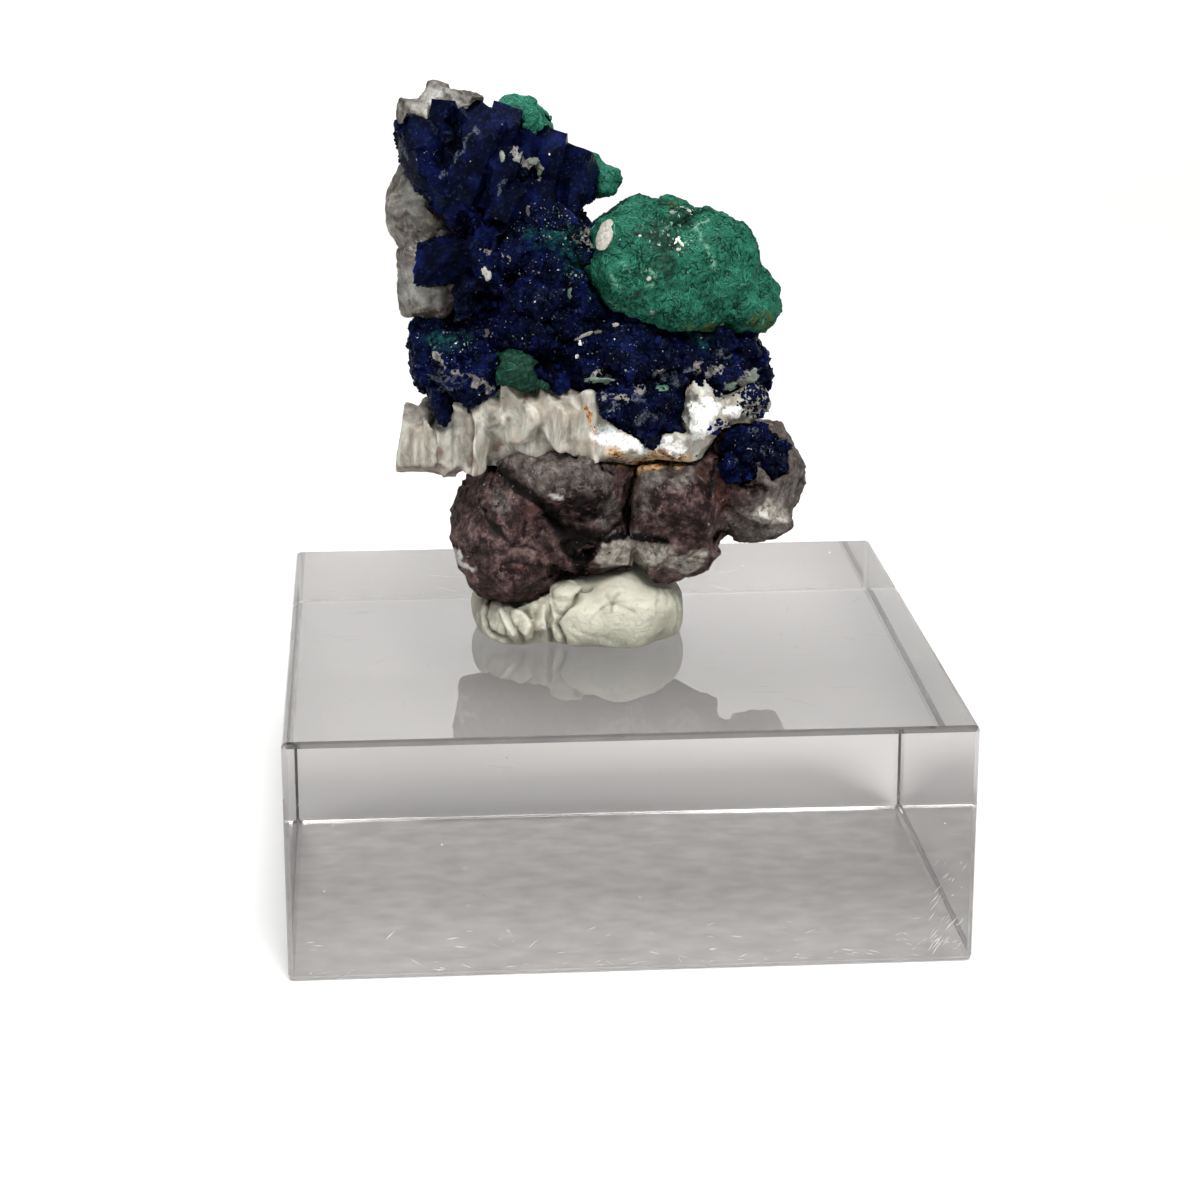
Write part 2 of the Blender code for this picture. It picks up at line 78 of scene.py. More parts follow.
FIBRE_RINGS = 5
FIBRE_CORNERS = (0.0, 2.094, 4.189)
FIBRE_RADIUS = 0.045
FIBRE_SINK = 0.05
BIT_THICKNESS = 0.3
ABSORPTION = 19.0
TACK_SMOOTHING = 12
TACK_DROP = 0.3
SCRATCHES = 90
FRONT_MARKS = 120
CORNER_MARKS = 40
MARK_LIFT = 0.004
DUST = 150
DUST_ON_FRONT = 0.45

LAMP_AIM = (0.0, 0.0, 0.035)
SOFT_LAMPS = (
    ("key", (0.12, -0.42, 0.62), 0.34, 6.0, (1.0, 0.985, 0.96)),
    ("fill", (-0.6, -0.5, 0.35), 0.5, 1.3, (1.0, 1.0, 1.0)),
    ("overhead", (-0.1, -0.05, 0.9), 0.7, 6.4, (1.0, 1.0, 1.0)),
)


# Frames and pixels

def from_block(points):
    """The block's millimetres to the specimen's."""
    return (points - SPECIMEN_PLACE) @ SPECIMEN_AXES


def to_specimen(points):
    """World metres to the specimen's millimetres."""
    return from_block(np.asarray(points) / MM)


def to_world(points):
    """The specimen's millimetres to world metres."""
    return (np.asarray(points) @ SPECIMEN_AXES.T + SPECIMEN_PLACE) * MM


def to_photo(points):
    """The photograph's pixel that each point of the specimen falls on."""
    rays = to_world(points) / MM - EYE
    depth = -(rays @ BACK)
    scale = LENS / SENSOR * PHOTO_SIZE / depth
    return np.stack((PHOTO_SIZE / 2 + (rays @ RIGHT) * scale, PHOTO_SIZE / 2 - (rays @ UP) * scale), axis=1)


def photo_ray(u, v):
    """The direction of the line of sight through a pixel, in the specimen's frame."""
    across = (u - PHOTO_SIZE / 2) / PHOTO_SIZE * SENSOR / LENS
    rise = (PHOTO_SIZE / 2 - v) / PHOTO_SIZE * SENSOR / LENS
    direction = (RIGHT * across + UP * rise - BACK) @ SPECIMEN_AXES
    return direction / np.linalg.norm(direction)


# Noise

def cell_random(cells, seed, channels):
    """Even random numbers from 0 to 1 for each whole-numbered cell, always the same for the same seed."""
    whole = cells.astype(np.int64).astype(np.uint64)
    base = whole[:, 0] * np.uint64(374761393) + whole[:, 1] * np.uint64(668265263)
    base = base + whole[:, 2] * np.uint64(2147483647) + np.uint64(seed * 362437 + 7)
    mask = np.uint64(0xFFFFFFFF)
    numbers = []
    for channel in range(channels):
        mixed = (base + np.uint64(channel * 1013904223)) & mask
        mixed = ((mixed ^ (mixed >> np.uint64(15))) * np.uint64(2246822519)) & mask
        mixed = ((mixed ^ (mixed >> np.uint64(13))) * np.uint64(3266489917)) & mask
        numbers.append((mixed ^ (mixed >> np.uint64(16))) / 4294967296.0)
    return np.stack(numbers, axis=1)


def noise(points, size, seed):
    """Smooth noise from about -1 to 1, whose lumps are about size across."""
    scaled = points / size
    base = np.floor(scaled)
    inside = scaled - base
    ease = inside * inside * (3 - 2 * inside)
    total = np.zeros(len(points))
    for corner in itertools.product((0.0, 1.0), repeat=3):
        corner = np.array(corner)
        slope = cell_random(base + corner, seed, 3) * 2 - 1
        weight = np.prod(np.where(corner > 0.5, ease, 1 - ease), axis=1)
        total += weight * np.sum(slope * (inside - corner), axis=1)
    return total * 1.7


def rough(points, size, seed, octaves=4, keep=0.55):
    """Noise summed over octaves, each half the size of the last."""
    total = np.zeros(len(points))
    strength = 1.0
    for octave in range(octaves):
        total += strength * noise(points, size / 2 ** octave, seed + octave)
        strength *= keep
    return total


def broken(points, size, seed):
    """Broken facets: each scattered cell is one tilted plane. Returns its height, and the way to its edge."""
    scaled = points / size
    base = np.floor(scaled)
    nearest = np.full(len(points), 9.0)
    second = nearest.copy()
    height = np.zeros(len(points))
    for corner in itertools.product((-1.0, 0.0, 1.0), repeat=3):
        cell = base + np.array(corner)
        numbers = cell_random(cell, seed, 7)
        away = scaled - cell - numbers[:, :3]
        distance = np.linalg.norm(away, axis=1)
        plane = np.sum(away * (numbers[:, 3:6] * 2 - 1), axis=1) + (numbers[:, 6] - 0.5) * 0.8
        closer = distance < nearest
        second = np.where(closer, nearest, np.minimum(second, distance))
        height = np.where(closer, plane, height)
        nearest = np.where(closer, distance, nearest)
    return height, second - nearest


def smoothstep(low, high, values):
    """A soft step from 0 at low to 1 at high."""
    share = np.clip((values - low) / (high - low), 0, 1)
    return share * share * (3 - 2 * share)


def shaken_pixels(points, size, seed, wobble):
    """The photograph's pixels of the points, each moved by about wobble pixels of noise."""
    shake = np.stack((rough(points, size, seed), rough(points, size, seed + 40)), axis=1)
    return to_photo(points) + wobble * shake


# Skins: a solid on a fine even grid

class Skin:
    """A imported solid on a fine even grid. Its points can be moved and painted in the specimen's frame."""

    def __init__(self, node, voxel, crisp=False):
        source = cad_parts[node]
        self.node = node
        solid = bmesh.new()
        solid.from_mesh(source.data)
        bmesh.ops.remove_doubles(solid, verts=solid.verts, dist=1e-7)
        work = bpy.data.objects.new("work", bpy.data.meshes.new("work"))
        solid.to_mesh(work.data)
        solid.free()
        scene.collection.objects.link(work)
        even = work.modifiers.new("even", "REMESH")
        if crisp:
            even.mode = "SHARP"
            even.octree_depth = OCTREE_DEPTH
            even.scale = min(0.99, max(work.dimensions) / (2 ** OCTREE_DEPTH * voxel * MM))
        else:
            even.mode = "VOXEL"
            even.voxel_size = voxel * MM
        graph = bpy.context.evaluated_depsgraph_get()
        self.mesh = bpy.data.meshes.new_from_object(work.evaluated_get(graph))
        bpy.data.objects.remove(work, do_unlink=True)
        self.read()

    def read(self):
        """Reads the points and their normals from the mesh."""
        self.mesh.update()
        flat = np.empty(len(self.mesh.vertices) * 3, dtype=np.float32)
        self.mesh.vertices.foreach_get("co", flat)
        self.points = to_specimen(flat.reshape(-1, 3).astype(float))
        self.mesh.vertex_normals.foreach_get("vector", flat)
        self.normals = flat.reshape(-1, 3).astype(float) @ SPECIMEN_AXES

    def write(self):
        """Writes the moved points to the mesh, and takes their new normals."""
        self.mesh.vertices.foreach_set("co", to_world(self.points).ravel())
        self.read()

    def push(self, amount):
        """Moves each point along its normal, by that many millimetres."""
        self.points = self.points + self.normals * np.asarray(amount)[:, None]
        self.write()

    def carve(self, depth):
        """Moves each point straight away from the photograph's viewpoint, by that many millimetres."""
        self.points = self.points - TOWARDS_CAMERA * np.asarray(depth)[:, None]
        self.write()

    def relax(self):
        """Smooths the whole shape a little: each point moves to the middle of its neighbours."""
        edges = np.empty(len(self.mesh.edges) * 2, dtype=np.int32)
        self.mesh.edges.foreach_get("vertices", edges)
        first, second = edges.reshape(-1, 2).T
        total = np.zeros_like(self.points)
        np.add.at(total, first, self.points[second])
        np.add.at(total, second, self.points[first])
        count = np.bincount(edges, minlength=len(self.points))
        self.points = total / count[:, None]
        self.write()

    def paint(self, name, values):
        """Stores one number a point, for the material."""
        store(self.mesh, name, values)

    def paint_zones(self, table):
        """Stores masks of spots. Each row is a name, a strength, the raggedness in pixels and the spots."""
        for name, strength, wobble, spots in table:
            self.paint(name, strength * self.spots(spots, wobble))

    def front(self):
        """How far each point faces the photograph, from 0 to 1."""
        sight = EYE_PLACE - self.points
        sight = sight / np.linalg.norm(sight, axis=1)[:, None]
        return smoothstep(-0.1, 0.35, np.sum(self.normals * sight, axis=1))

    def spots(self, table, wobble, through=False):
        """A mask of spots in the photograph, ragged at their edges.

        It covers only what faces the photograph, or with through all that lies behind the spots.
        """
        pixels = shaken_pixels(self.points, 1.6, 3, wobble)
        mask = np.zeros(len(self.points))
        for u, v, half_u, half_v, turn in table:
            angle = math.radians(turn)
            across = (pixels[:, 0] - u) * math.cos(angle) + (pixels[:, 1] - v) * math.sin(angle)
            down = (pixels[:, 1] - v) * math.cos(angle) - (pixels[:, 0] - u) * math.sin(angle)
            away = np.hypot(across / half_u, down / half_v)
            mask = np.maximum(mask, 1 - smoothstep(0.8, 1.15, away))
        return mask if through else mask * self.front()

    def near_line(self, path, width, wobble=2.5):
        """A mask along a line in the photograph, full on it and gone beyond width, in millimetres."""
        pixels = shaken_pixels(self.points, 1.1, 11, wobble)
        nearest = np.full(len(self.points), 1e9)
        for start, end in zip(path, path[1:]):
            start, along = np.array(start, float), np.array(end, float) - np.array(start, float)
            share = np.clip(((pixels - start) @ along) / (along @ along), 0, 1)
            nearest = np.minimum(nearest, np.linalg.norm(pixels - start - share[:, None] * along, axis=1))
        return np.exp(-(nearest / PIXELS_PER_MM / width) ** 2) * self.front()

    def trace(self, table, wobble=2.5, narrowest=0.0, ink=0.0):
        """The depth along a table of lines, and a mask of them. With ink, a deeper line is stronger in it."""
        depth, mask = np.zeros(len(self.points)), np.zeros(len(self.points))
        for path, width, deep in table:
            line = self.near_line(path, max(width, narrowest), wobble)
            depth += deep * line
            mask = np.maximum(mask, line * (min(1.0, deep * ink) if ink else 1.0))
        return depth, mask

    def tree(self):
        """A search tree of the moved surface, in the specimen's millimetres."""
        polygons = [tuple(polygon.vertices) for polygon in self.mesh.polygons]
        return BVHTree.FromPolygons([Vector(point) for point in self.points], polygons)

    def scatter(self, count, rng, weight=None):
        """Random places on the surface, more where weight is greater: points and normals."""
        triangles = len(self.mesh.polygons)
        corners = np.empty(triangles * 4, dtype=np.int32)
        self.mesh.polygons.foreach_get("vertices", corners)
        corners = corners.reshape(-1, 4)
        sides = self.points[corners[:, 1]] - self.points[corners[:, 0]]
        others = self.points[corners[:, 2]] - self.points[corners[:, 0]]
        area = np.linalg.norm(np.cross(sides, others), axis=1)
        if weight is not None:
            area = area * weight[corners].mean(axis=1)
        chosen = corners[rng.choice(triangles, size=count, p=area / area.sum())]
        shares = rng.dirichlet(np.ones(4), size=count)[:, :, None]
        normals = (self.normals[chosen] * shares).sum(axis=1)
        return (self.points[chosen] * shares).sum(axis=1), normals / np.linalg.norm(normals, axis=1)[:, None]

    def finish(self, name, look, crease=None):
        """Makes the piece, which stands for its node. Edges sharper than crease, in degrees, stay sharp."""
        self.mesh.shade_smooth()
        if crease:
            self.mesh.set_sharp_from_angle(angle=math.radians(crease))
        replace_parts(dress(bpy.data.objects.new(name, self.mesh), look), self.node)


def store(mesh, name, values):
    """Stores one number a point on a mesh, for the material."""
    layer = mesh.attributes.new(name, "FLOAT", "POINT")
    layer.data.foreach_set("value", np.clip(values, 0, 1).astype(np.float32))


def dress(piece, look):
    """Links a piece to the scene, and gives it its look's material, and the specimen's body."""
    material, slot = looks[look]
    scene.collection.objects.link(piece)
    piece.data.materials.clear()
    piece.data.materials.append(material)
    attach(piece, "root")
    return piece


def joined(name, points, faces, look, fields=(), smooth=False):
    """One piece from many small shapes that share a list of points and faces."""
    mesh = bpy.data.meshes.new(name)
    mesh.from_pydata(to_world(points).tolist(), [], faces)
    for field, values in fields:
        store(mesh, field, values)
    if smooth:
        mesh.shade_smooth()
    else:
        mesh.shade_flat()
    dress(bpy.data.objects.new(name, mesh), look)


# Small shapes

CRYSTAL_POINTS = np.array((
    (-1, -1, -1), (1, -1, -1), (1, 1, -1), (-1, 1, -1),
    (-1, -1, 0.3), (1, -1, 0.3), (1, 1, 0.3), (-1, 1, 0.3),
    (-0.5, 0, 1), (0.5, 0, 1),
), dtype=float)
CRYSTAL_FACES = (
    (3, 2, 1, 0), (0, 1, 5, 4), (1, 2, 6, 5), (2, 3, 7, 6), (3, 0, 4, 7),
    (4, 5, 9, 8), (6, 7, 8, 9), (5, 6, 9), (7, 4, 8),
)
GRAIN_POINTS = np.array((
    (1, 0, 0), (0.2, 1, 0), (-1, 0.3, 0), (-0.3, -1, 0), (0.1, -0.1, 1), (0, 0, -1),
), dtype=float)
GRAIN_FACES = ((0, 1, 4), (1, 2, 4), (2, 3, 4), (3, 0, 4), (1, 0, 5), (2, 1, 5), (3, 2, 5), (0, 3, 5))


def ball(detail):
    """The points and faces of a ball."""
    bm = bmesh.new()
    bmesh.ops.create_icosphere(bm, subdivisions=detail, radius=1.0)
    points = np.array([vertex.co[:] for vertex in bm.verts])
    faces = [tuple(vertex.index for vertex in face.verts) for face in bm.faces]
    bm.free()
    return points, faces


def frames(outward, rng):
    """For each outward direction, three square axes with a random spin, as rows."""
    side = np.cross(outward, rng.normal(size=outward.shape))
    side = side / np.linalg.norm(side, axis=1)[:, None]
    return np.stack((side, np.cross(outward, side), outward), axis=1)


def shifted(faces, first):
    """Faces whose points start at the number first."""
    return [tuple(corner + first for corner in face) for face in faces]


def repeat(shape, faces, places, axes, sizes):
    """Copies of a shape at places, turned to axes and stretched to sizes."""
    points = np.einsum("pc,nc,ncd->npd", shape, sizes, axes) + places[:, None, :]
    copies = []
    for index in range(len(places)):
        copies.extend(shifted(faces, index * len(shape)))
    return points.reshape(-1, 3), copies


def leaning(normals, lean, rng):
    """The normals, each turned at random: more for a greater lean."""
    outward = normals + lean * rng.normal(size=normals.shape)
    return outward / np.linalg.norm(outward, axis=1)[:, None]


def druse_on(name, skin, count, sizes, rng, weight=None, teal=None):
    """Small crystals that cover a skin, each with its own tone."""
    places, normals = skin.scatter(count, rng, weight)
    width = sizes[0] + (sizes[1] - sizes[0]) * rng.random(count) ** 2.0
    depth = width * rng.uniform(0.4, 0.9, count)
    stretch = np.stack((width, depth, width * rng.uniform(0.7, 1.4, count)), axis=1)
    axes = frames(leaning(normals, 0.8, rng), rng)
    sunk = places - 0.45 * width[:, None] * normals
    points, faces = repeat(CRYSTAL_POINTS, CRYSTAL_FACES, sunk, axes, stretch)
    green = np.zeros(count) if teal is None else teal(places)
    tone = np.clip(0.34 + 0.5 * noise(places, 2.4, 83) + 0.26 * rng.normal(size=count), 0, 1)
    each = len(CRYSTAL_POINTS)
    fields = (("tone", np.repeat(tone, each)), ("teal", np.repeat(green, each)))
    joined(name, points, faces, "azurite", fields)


def grains_on(name, skin, count, sizes, rng, look, weight=None, dim=1.0):
    """Crumbs of other mineral, flat on a skin. More of them are dark for a greater dim."""
    places, normals = skin.scatter(count, rng, weight)
    size = sizes[0] + (sizes[1] - sizes[0]) * rng.random(count) ** 2.5
    depth = size * rng.uniform(0.4, 1.0, count)
    stretch = np.stack((size, depth, size * rng.uniform(0.3, 0.7, count)), axis=1)
    axes = frames(leaning(normals, 0.25, rng), rng)
    points, copies = repeat(GRAIN_POINTS, GRAIN_FACES, places, axes, stretch)
    points = points + np.repeat(size, len(GRAIN_POINTS))[:, None] * 0.2 * rng.normal(size=points.shape)
    tone = np.repeat(rng.random(count) ** dim, len(GRAIN_POINTS))
    joined(name, points, copies, look, (("tone", tone),))


def bits_on(name, skin, table, seed, ragged=0.5):
    """Single bits of pale mineral that the photograph shows, each half sunk in a skin."""
    tree = skin.tree()
    shape, faces = ball(4)
    points, copies, tones = [], [], []
    for index, (u, v, half_u, half_v, turn, tone) in enumerate(table):
        place, normal = seen(tree, u, v)
        if place is None:
            continue
        outward = normal + 0.3 * TOWARDS_CAMERA
        outward = outward / np.linalg.norm(outward)
        side = np.cross((0.0, 0.0, 1.0), outward)
        side = side / np.linalg.norm(side)
        rise = np.cross(outward, side)
        angle = math.radians(turn)
        turned = side * math.cos(angle) - rise * math.sin(angle)
        axes = np.stack((turned, rise * math.cos(angle) + side * math.sin(angle), outward))
        size = np.array((half_u, half_v, BIT_THICKNESS * min(half_u, half_v))) / PIXELS_PER_MM
        knob = (shape * size) @ axes + place
        swell = 1 + ragged * rough(knob, 0.5, seed + index, 4)
        knob = (knob - place) * swell[:, None] + place
        copies.extend(shifted(faces, len(points) * len(shape)))
        points.append(knob)
        tones.extend((tone,) * len(shape))
    joined(name, np.concatenate(points), copies, "bit", (("tone", np.array(tones)),), smooth=True)


def seen(tree, u, v):
    """The point of a surface that the photograph shows at a pixel, and its normal."""
    place, normal = tree.ray_cast(Vector(EYE_PLACE), Vector(photo_ray(u, v)))[:2]
    if place is None:
        return None, None
    return np.array(place), np.array(normal)


def fibres_on(name, skin, count, length, rng, weight, tone):
    """Fine curved fibres that lie matted on a skin, combed one way here and another there."""
    tree = skin.tree()
    places, normals = skin.scatter(count, rng, weight)
    comb = np.stack([noise(places, 1.6, 81 + axis) for axis in range(3)], axis=1)
    headings = np.cross(normals, comb + 0.3 * rng.normal(size=places.shape))
    shades = np.clip(tone + 0.8 * rough(places, 1.6, 91, 3) + 0.2 * rng.normal(size=count), 0, 1)
    points, faces, tones = [], [], []
    for index in range(count):
        place, normal = Vector(places[index]), Vector(normals[index])
        heading = Vector(headings[index]).normalized()
        bend = rng.normal() * 0.5
        step = length * rng.uniform(0.5, 1.5) / (FIBRE_RINGS - 1)
        lift = rng.uniform(-0.015, 0.015)
        width = FIBRE_RADIUS * rng.uniform(0.6, 1.4)
        tones.extend((shades[index],) * (3 * FIBRE_RINGS))
        first = len(points)
        for ring in range(FIBRE_RINGS):
            side = normal.cross(heading).normalized()
            tip = ring in (0, FIBRE_RINGS - 1)
            thick = width * (0.3 if tip else 1.0)
            middle = place + normal * (lift - (FIBRE_SINK if tip else 0.0))
            for turn in FIBRE_CORNERS:
                points.append(middle + side * (thick * math.cos(turn)) + normal * (thick * math.sin(turn)))
            if ring:
                base = first + 3 * ring
                for corner in range(3):
                    after = (corner + 1) % 3
                    faces.append((base - 3 + corner, base - 3 + after, base + after, base + corner))
            heading = (heading + side * bend).normalized()
            place, normal = tree.find_nearest(place + heading * step)[:2]
            heading = (heading - normal * heading.dot(normal)).normalized()
        faces.append((first + 2, first + 1, first))
        last = first + 3 * (FIBRE_RINGS - 1)
        faces.append((last, last + 1, last + 2))
    points = np.array([tuple(point) for point in points])
    joined(name, points, faces, "fibre", (("tone", np.array(tones)),), smooth=True)


# Materials

RUST_STOPS = (
    (0.36, (0.07, 0.025, 0.013)), (0.45, (0.28, 0.12, 0.045)),
    (0.53, (0.48, 0.31, 0.15)), (0.66, (0.6, 0.47, 0.33)),
)


class Look:
    """Builds one material's nodes. Sizes are in millimetres. Its values are the shader's own sockets."""

    def __init__(self, name, **values):
        self.material = bpy.data.materials.new(name)
        self.material.use_nodes = True
        self.nodes = self.material.node_tree.nodes
        self.links = self.material.node_tree.links
        self.shader = self.nodes["Principled BSDF"]
        self.place = self.nodes.new("ShaderNodeTexCoord").outputs["Object"]
        for socket, value in values.items():
            self.shader.inputs[socket.replace("_", " ")].default_value = value

    def noise(self, size, detail=4.0, roughness=0.6, distortion=0.0, stretch=None):
        """Noise whose lumps are about size across, longer along the axes where stretch is under one."""
        vector = self.place
        if stretch:
            mapping = self.nodes.new("ShaderNodeMapping")
            mapping.inputs["Scale"].default_value = stretch
            self.links.new(self.place, mapping.inputs["Vector"])
            vector = mapping.outputs["Vector"]
        node = self.nodes.new("ShaderNodeTexNoise")
        node.inputs["Scale"].default_value = 1 / (size * MM)
        node.inputs["Detail"].default_value = detail
        node.inputs["Roughness"].default_value = roughness
        node.inputs["Distortion"].default_value = distortion
        self.links.new(vector, node.inputs["Vector"])
        return node.outputs["Fac"]

    def field(self, name):
        """A number that was painted on the piece."""
        node = self.nodes.new("ShaderNodeAttribute")
        node.attribute_name = name
        return node.outputs["Fac"]

    def ramp(self, factor, *stops):
        """A colour or a grey value from a factor. Each stop is a position with a grey value or a colour."""
        node = self.nodes.new("ShaderNodeValToRGB")
        elements = node.color_ramp.elements
        while len(elements) < len(stops):
            elements.new(0.5)
        for element, (position, value) in zip(elements, stops):
            element.position = position
            element.color = (*value, 1.0) if isinstance(value, tuple) else (value, value, value, 1.0)
        self.links.new(factor, node.inputs["Fac"])
        return node.outputs["Color"]

    def mix(self, factor, first, second, blend="MIX"):
        """The first colour with the second over it, as far as the factor says."""
        node = self.nodes.new("ShaderNodeMix")
        node.data_type = "RGBA"
        node.blend_type = blend
        for socket, value in ((node.inputs[0], factor), (node.inputs[6], first), (node.inputs[7], second)):
            if isinstance(value, tuple):
                socket.default_value = (*value, 1.0)
            elif isinstance(value, float):
                socket.default_value = value
            else:
                self.links.new(value, socket)
        return node.outputs[2]

    def coat(self, colour, **fields):
        """The colour with each painted field's own colour over it, in turn."""
        for name, over in fields.items():
            colour = self.mix(self.field(name), colour, over)
        return colour

    def times(self, first, second):
        node = self.nodes.new("ShaderNodeMath")
        node.operation = "MULTIPLY"
        self.links.new(first, node.inputs[0])
        self.links.new(second, node.inputs[1])
        return node.outputs[0]

    def bump(self, height, depth, strength=1.0):
        """Fine relief of a height pattern, depth millimetres deep."""
        node = self.nodes.new("ShaderNodeBump")
        node.inputs["Strength"].default_value = strength
        node.inputs["Distance"].default_value = depth * MM
        self.links.new(height, node.inputs["Height"])
        return node.outputs["Normal"]

    def use(self, colour=None, roughness=None, normal=None):
        """Joins the patterns to the shader, and gives the finished material."""
        for output, socket in ((colour, "Base Color"), (roughness, "Roughness"), (normal, "Normal")):
            if output is not None:
                self.links.new(output, self.shader.inputs[socket])
        return self.material


def azurite_look():
    look = Look("azurite_blue", IOR=1.5, Specular_IOR_Level=0.06, Specular_Tint=(0.4, 0.5, 1.0, 1.0))
    broad = look.ramp(look.noise(1.3), (0.42, 0.0), (0.62, 1.0))
    blue = look.mix(broad, (0.0007, 0.001, 0.005), (0.003, 0.006, 0.042))
    blue = look.mix(look.ramp(look.field("tone"), (0.45, 0.0), (0.95, 0.9)), blue, (0.004, 0.009, 0.08))
    # Painted shade: broad near-black patches over the azurite stand in for its shadows.
    painted_shade_patches = look.ramp(look.noise(3.0, 4.0, 0.6), (0.42, 0.85), (0.58, 0.0))
    blue = look.mix(painted_shade_patches, blue, (0.0006, 0.0009, 0.004))
    haze = look.ramp(look.noise(0.3, 5.0, 0.7), (0.55, 0.0), (0.7, 0.5))
    blue = look.mix(haze, blue, (0.02, 0.046, 0.09))
    teal = look.ramp(look.noise(0.4, 4.0), (0.4, (0.002, 0.02, 0.032)), (0.65, (0.012, 0.085, 0.07)))
    blue = look.coat(blue, teal=teal)
    # Pale blue-grey on the dust field: partly real dust and grey smears, partly painted highlights along
    # ridges and faces.
    dust = look.ramp(look.times(look.field("dust"), look.noise(0.24, 5.0, 0.8)), (0.42, 0.0), (0.58, 0.75))
    blue = look.mix(dust, blue, (0.1, 0.12, 0.15))
    crust = look.ramp(look.times(look.field("crust"), look.noise(0.4, 5.0, 0.75)), (0.3, 0.0), (0.36, 0.95))
    pale = look.ramp(look.noise(0.3), (0.35, (0.07, 0.065, 0.065)), (0.65, (0.3, 0.285, 0.265)))
    colour = look.coat(look.mix(crust, blue, pale), shade=(0.0006, 0.0007, 0.002))
    sheen = look.ramp(look.noise(0.5), (0.35, 0.2), (0.65, 0.6))
    return look.use(colour, sheen, look.bump(look.noise(0.22, 4.0), 0.04))


def malachite_look():
    look = Look("malachite_green", IOR=1.6, Specular_IOR_Level=0.1)
    broad = look.ramp(look.noise(2.0, 4.0, 0.6), (0.35, (0.0006, 0.018, 0.011)), (0.5, (0.004, 0.055, 0.033)),
                      (0.65, (0.012, 0.1, 0.064)))
    felt = look.ramp(look.noise(0.42, 4.0, 0.65, 2.5), (0.42, 0.0), (0.62, 0.8))
    # Painted shade: the dark field turns the green to this darker colour.
    shade = look.ramp(look.noise(0.35, 3.0), (0.42, (0.002, 0.01, 0.006)), (0.7, (0.012, 0.06, 0.04)))
    green = look.coat(look.mix(felt, broad, (0.024, 0.18, 0.115)), dark=shade, olive=(0.045, 0.062, 0.012),
                       pale=(0.16, 0.33, 0.24))
    sheen = look.ramp(look.noise(0.3), (0.3, 0.4), (0.7, 0.75))
    return look.use(green, sheen, look.bump(look.noise(0.3, 4.0, 0.6, 2.0), 0.07))


def white_look():
    look = Look("white_mineral", IOR=1.5, Specular_IOR_Level=0.4, Subsurface_Weight=0.25,
                Subsurface_Scale=0.0005)
    streak = look.noise(1.2, 6.0, 0.68, 0.5, (1.0, 1.0, 0.4))
    pale = look.ramp(streak, (0.34, (0.17, 0.155, 0.125)), (0.46, (0.31, 0.295, 0.25)),
                     (0.56, (0.47, 0.46, 0.405)), (0.7, (0.68, 0.67, 0.62)))
    warm = look.ramp(look.noise(2.0, 4.0), (0.5, 0.0), (0.66, 0.55))
    pale = look.mix(warm, pale, (0.36, 0.285, 0.225))
    grey = look.ramp(look.noise(0.7, 5.0), (0.33, (0.06, 0.055, 0.045)), (0.5, (0.19, 0.18, 0.155)),
                     (0.68, (0.42, 0.41, 0.375)))
    chalk = look.ramp(look.noise(0.35, 5.0), (0.3, (0.3, 0.28, 0.25)), (0.4, (0.88, 0.885, 0.87)))
    # Of these fields, grey is partly painted shade on the left teeth, brown partly painted shade under them,
    # and dark is painted shade in the grooves.
    pale = look.coat(pale, brown=(0.15, 0.09, 0.07), grey=grey, chalk=chalk,
                      rust=look.ramp(look.noise(0.5, 5.0), *RUST_STOPS), teal=(0.05, 0.17, 0.10),
                      dark=(0.035, 0.022, 0.018))
    sheen = look.ramp(look.noise(0.5), (0.3, 0.35), (0.7, 0.8))
    return look.use(pale, sheen, look.bump(look.noise(0.25, 4.0, 0.6, 0.0, (1.0, 1.0, 0.5)), 0.04))


def rock_look():
    look = Look("brown_rock", IOR=1.5, Specular_IOR_Level=0.2)
    brown = look.ramp(look.noise(1.3, 7.0, 0.75), (0.38, (0.008, 0.003, 0.003)), (0.47, (0.04, 0.021, 0.02)),
                      (0.56, (0.1, 0.06, 0.056)), (0.7, (0.25, 0.18, 0.165)))
    grey = look.ramp(look.noise(0.8, 7.0, 0.75), (0.36, (0.015, 0.011, 0.01)), (0.47, (0.07, 0.058, 0.052)),
                     (0.57, (0.13, 0.112, 0.102)), (0.72, (0.3, 0.275, 0.25)))
    slab = look.ramp(look.noise(0.6, 6.0, 0.7), (0.36, (0.1, 0.09, 0.07)), (0.5, (0.33, 0.305, 0.26)),
                     (0.66, (0.58, 0.56, 0.5)))
    colour = look.coat(brown, grey=grey, slab=slab, pink=(0.22, 0.1, 0.085))
    # Near-black blotches: partly the rock's dark mottling, partly painted shade in its recesses.
    blotch = look.ramp(look.noise(1.0, 6.0, 0.75), (0.44, 1.0), (0.52, 0.0))
    colour = look.mix(look.times(look.field("mottle_and_shade"), blotch), colour, (0.012, 0.004, 0.005))
    wine = look.ramp(look.noise(0.5, 4.0), (0.4, (0.02, 0.006, 0.005)), (0.6, (0.075, 0.026, 0.02)))
    colour = look.coat(colour, rust=look.ramp(look.noise(0.5, 5.0), *RUST_STOPS), wine=wine,
                        pale=(0.5, 0.48, 0.44))
    pepper = look.ramp(look.noise(0.5, 8.0, 0.8), (0.37, 0.8), (0.43, 0.0))
    # The dark field is painted shade in cracks and hollows.
    colour = look.coat(look.mix(pepper, colour, (0.012, 0.007, 0.006)), dark=(0.004, 0.0018, 0.002))
    sheen = look.ramp(look.noise(0.3), (0.35, 0.4), (0.7, 0.9))
    return look.use(colour, sheen, look.bump(look.noise(0.25, 5.0), 0.08))


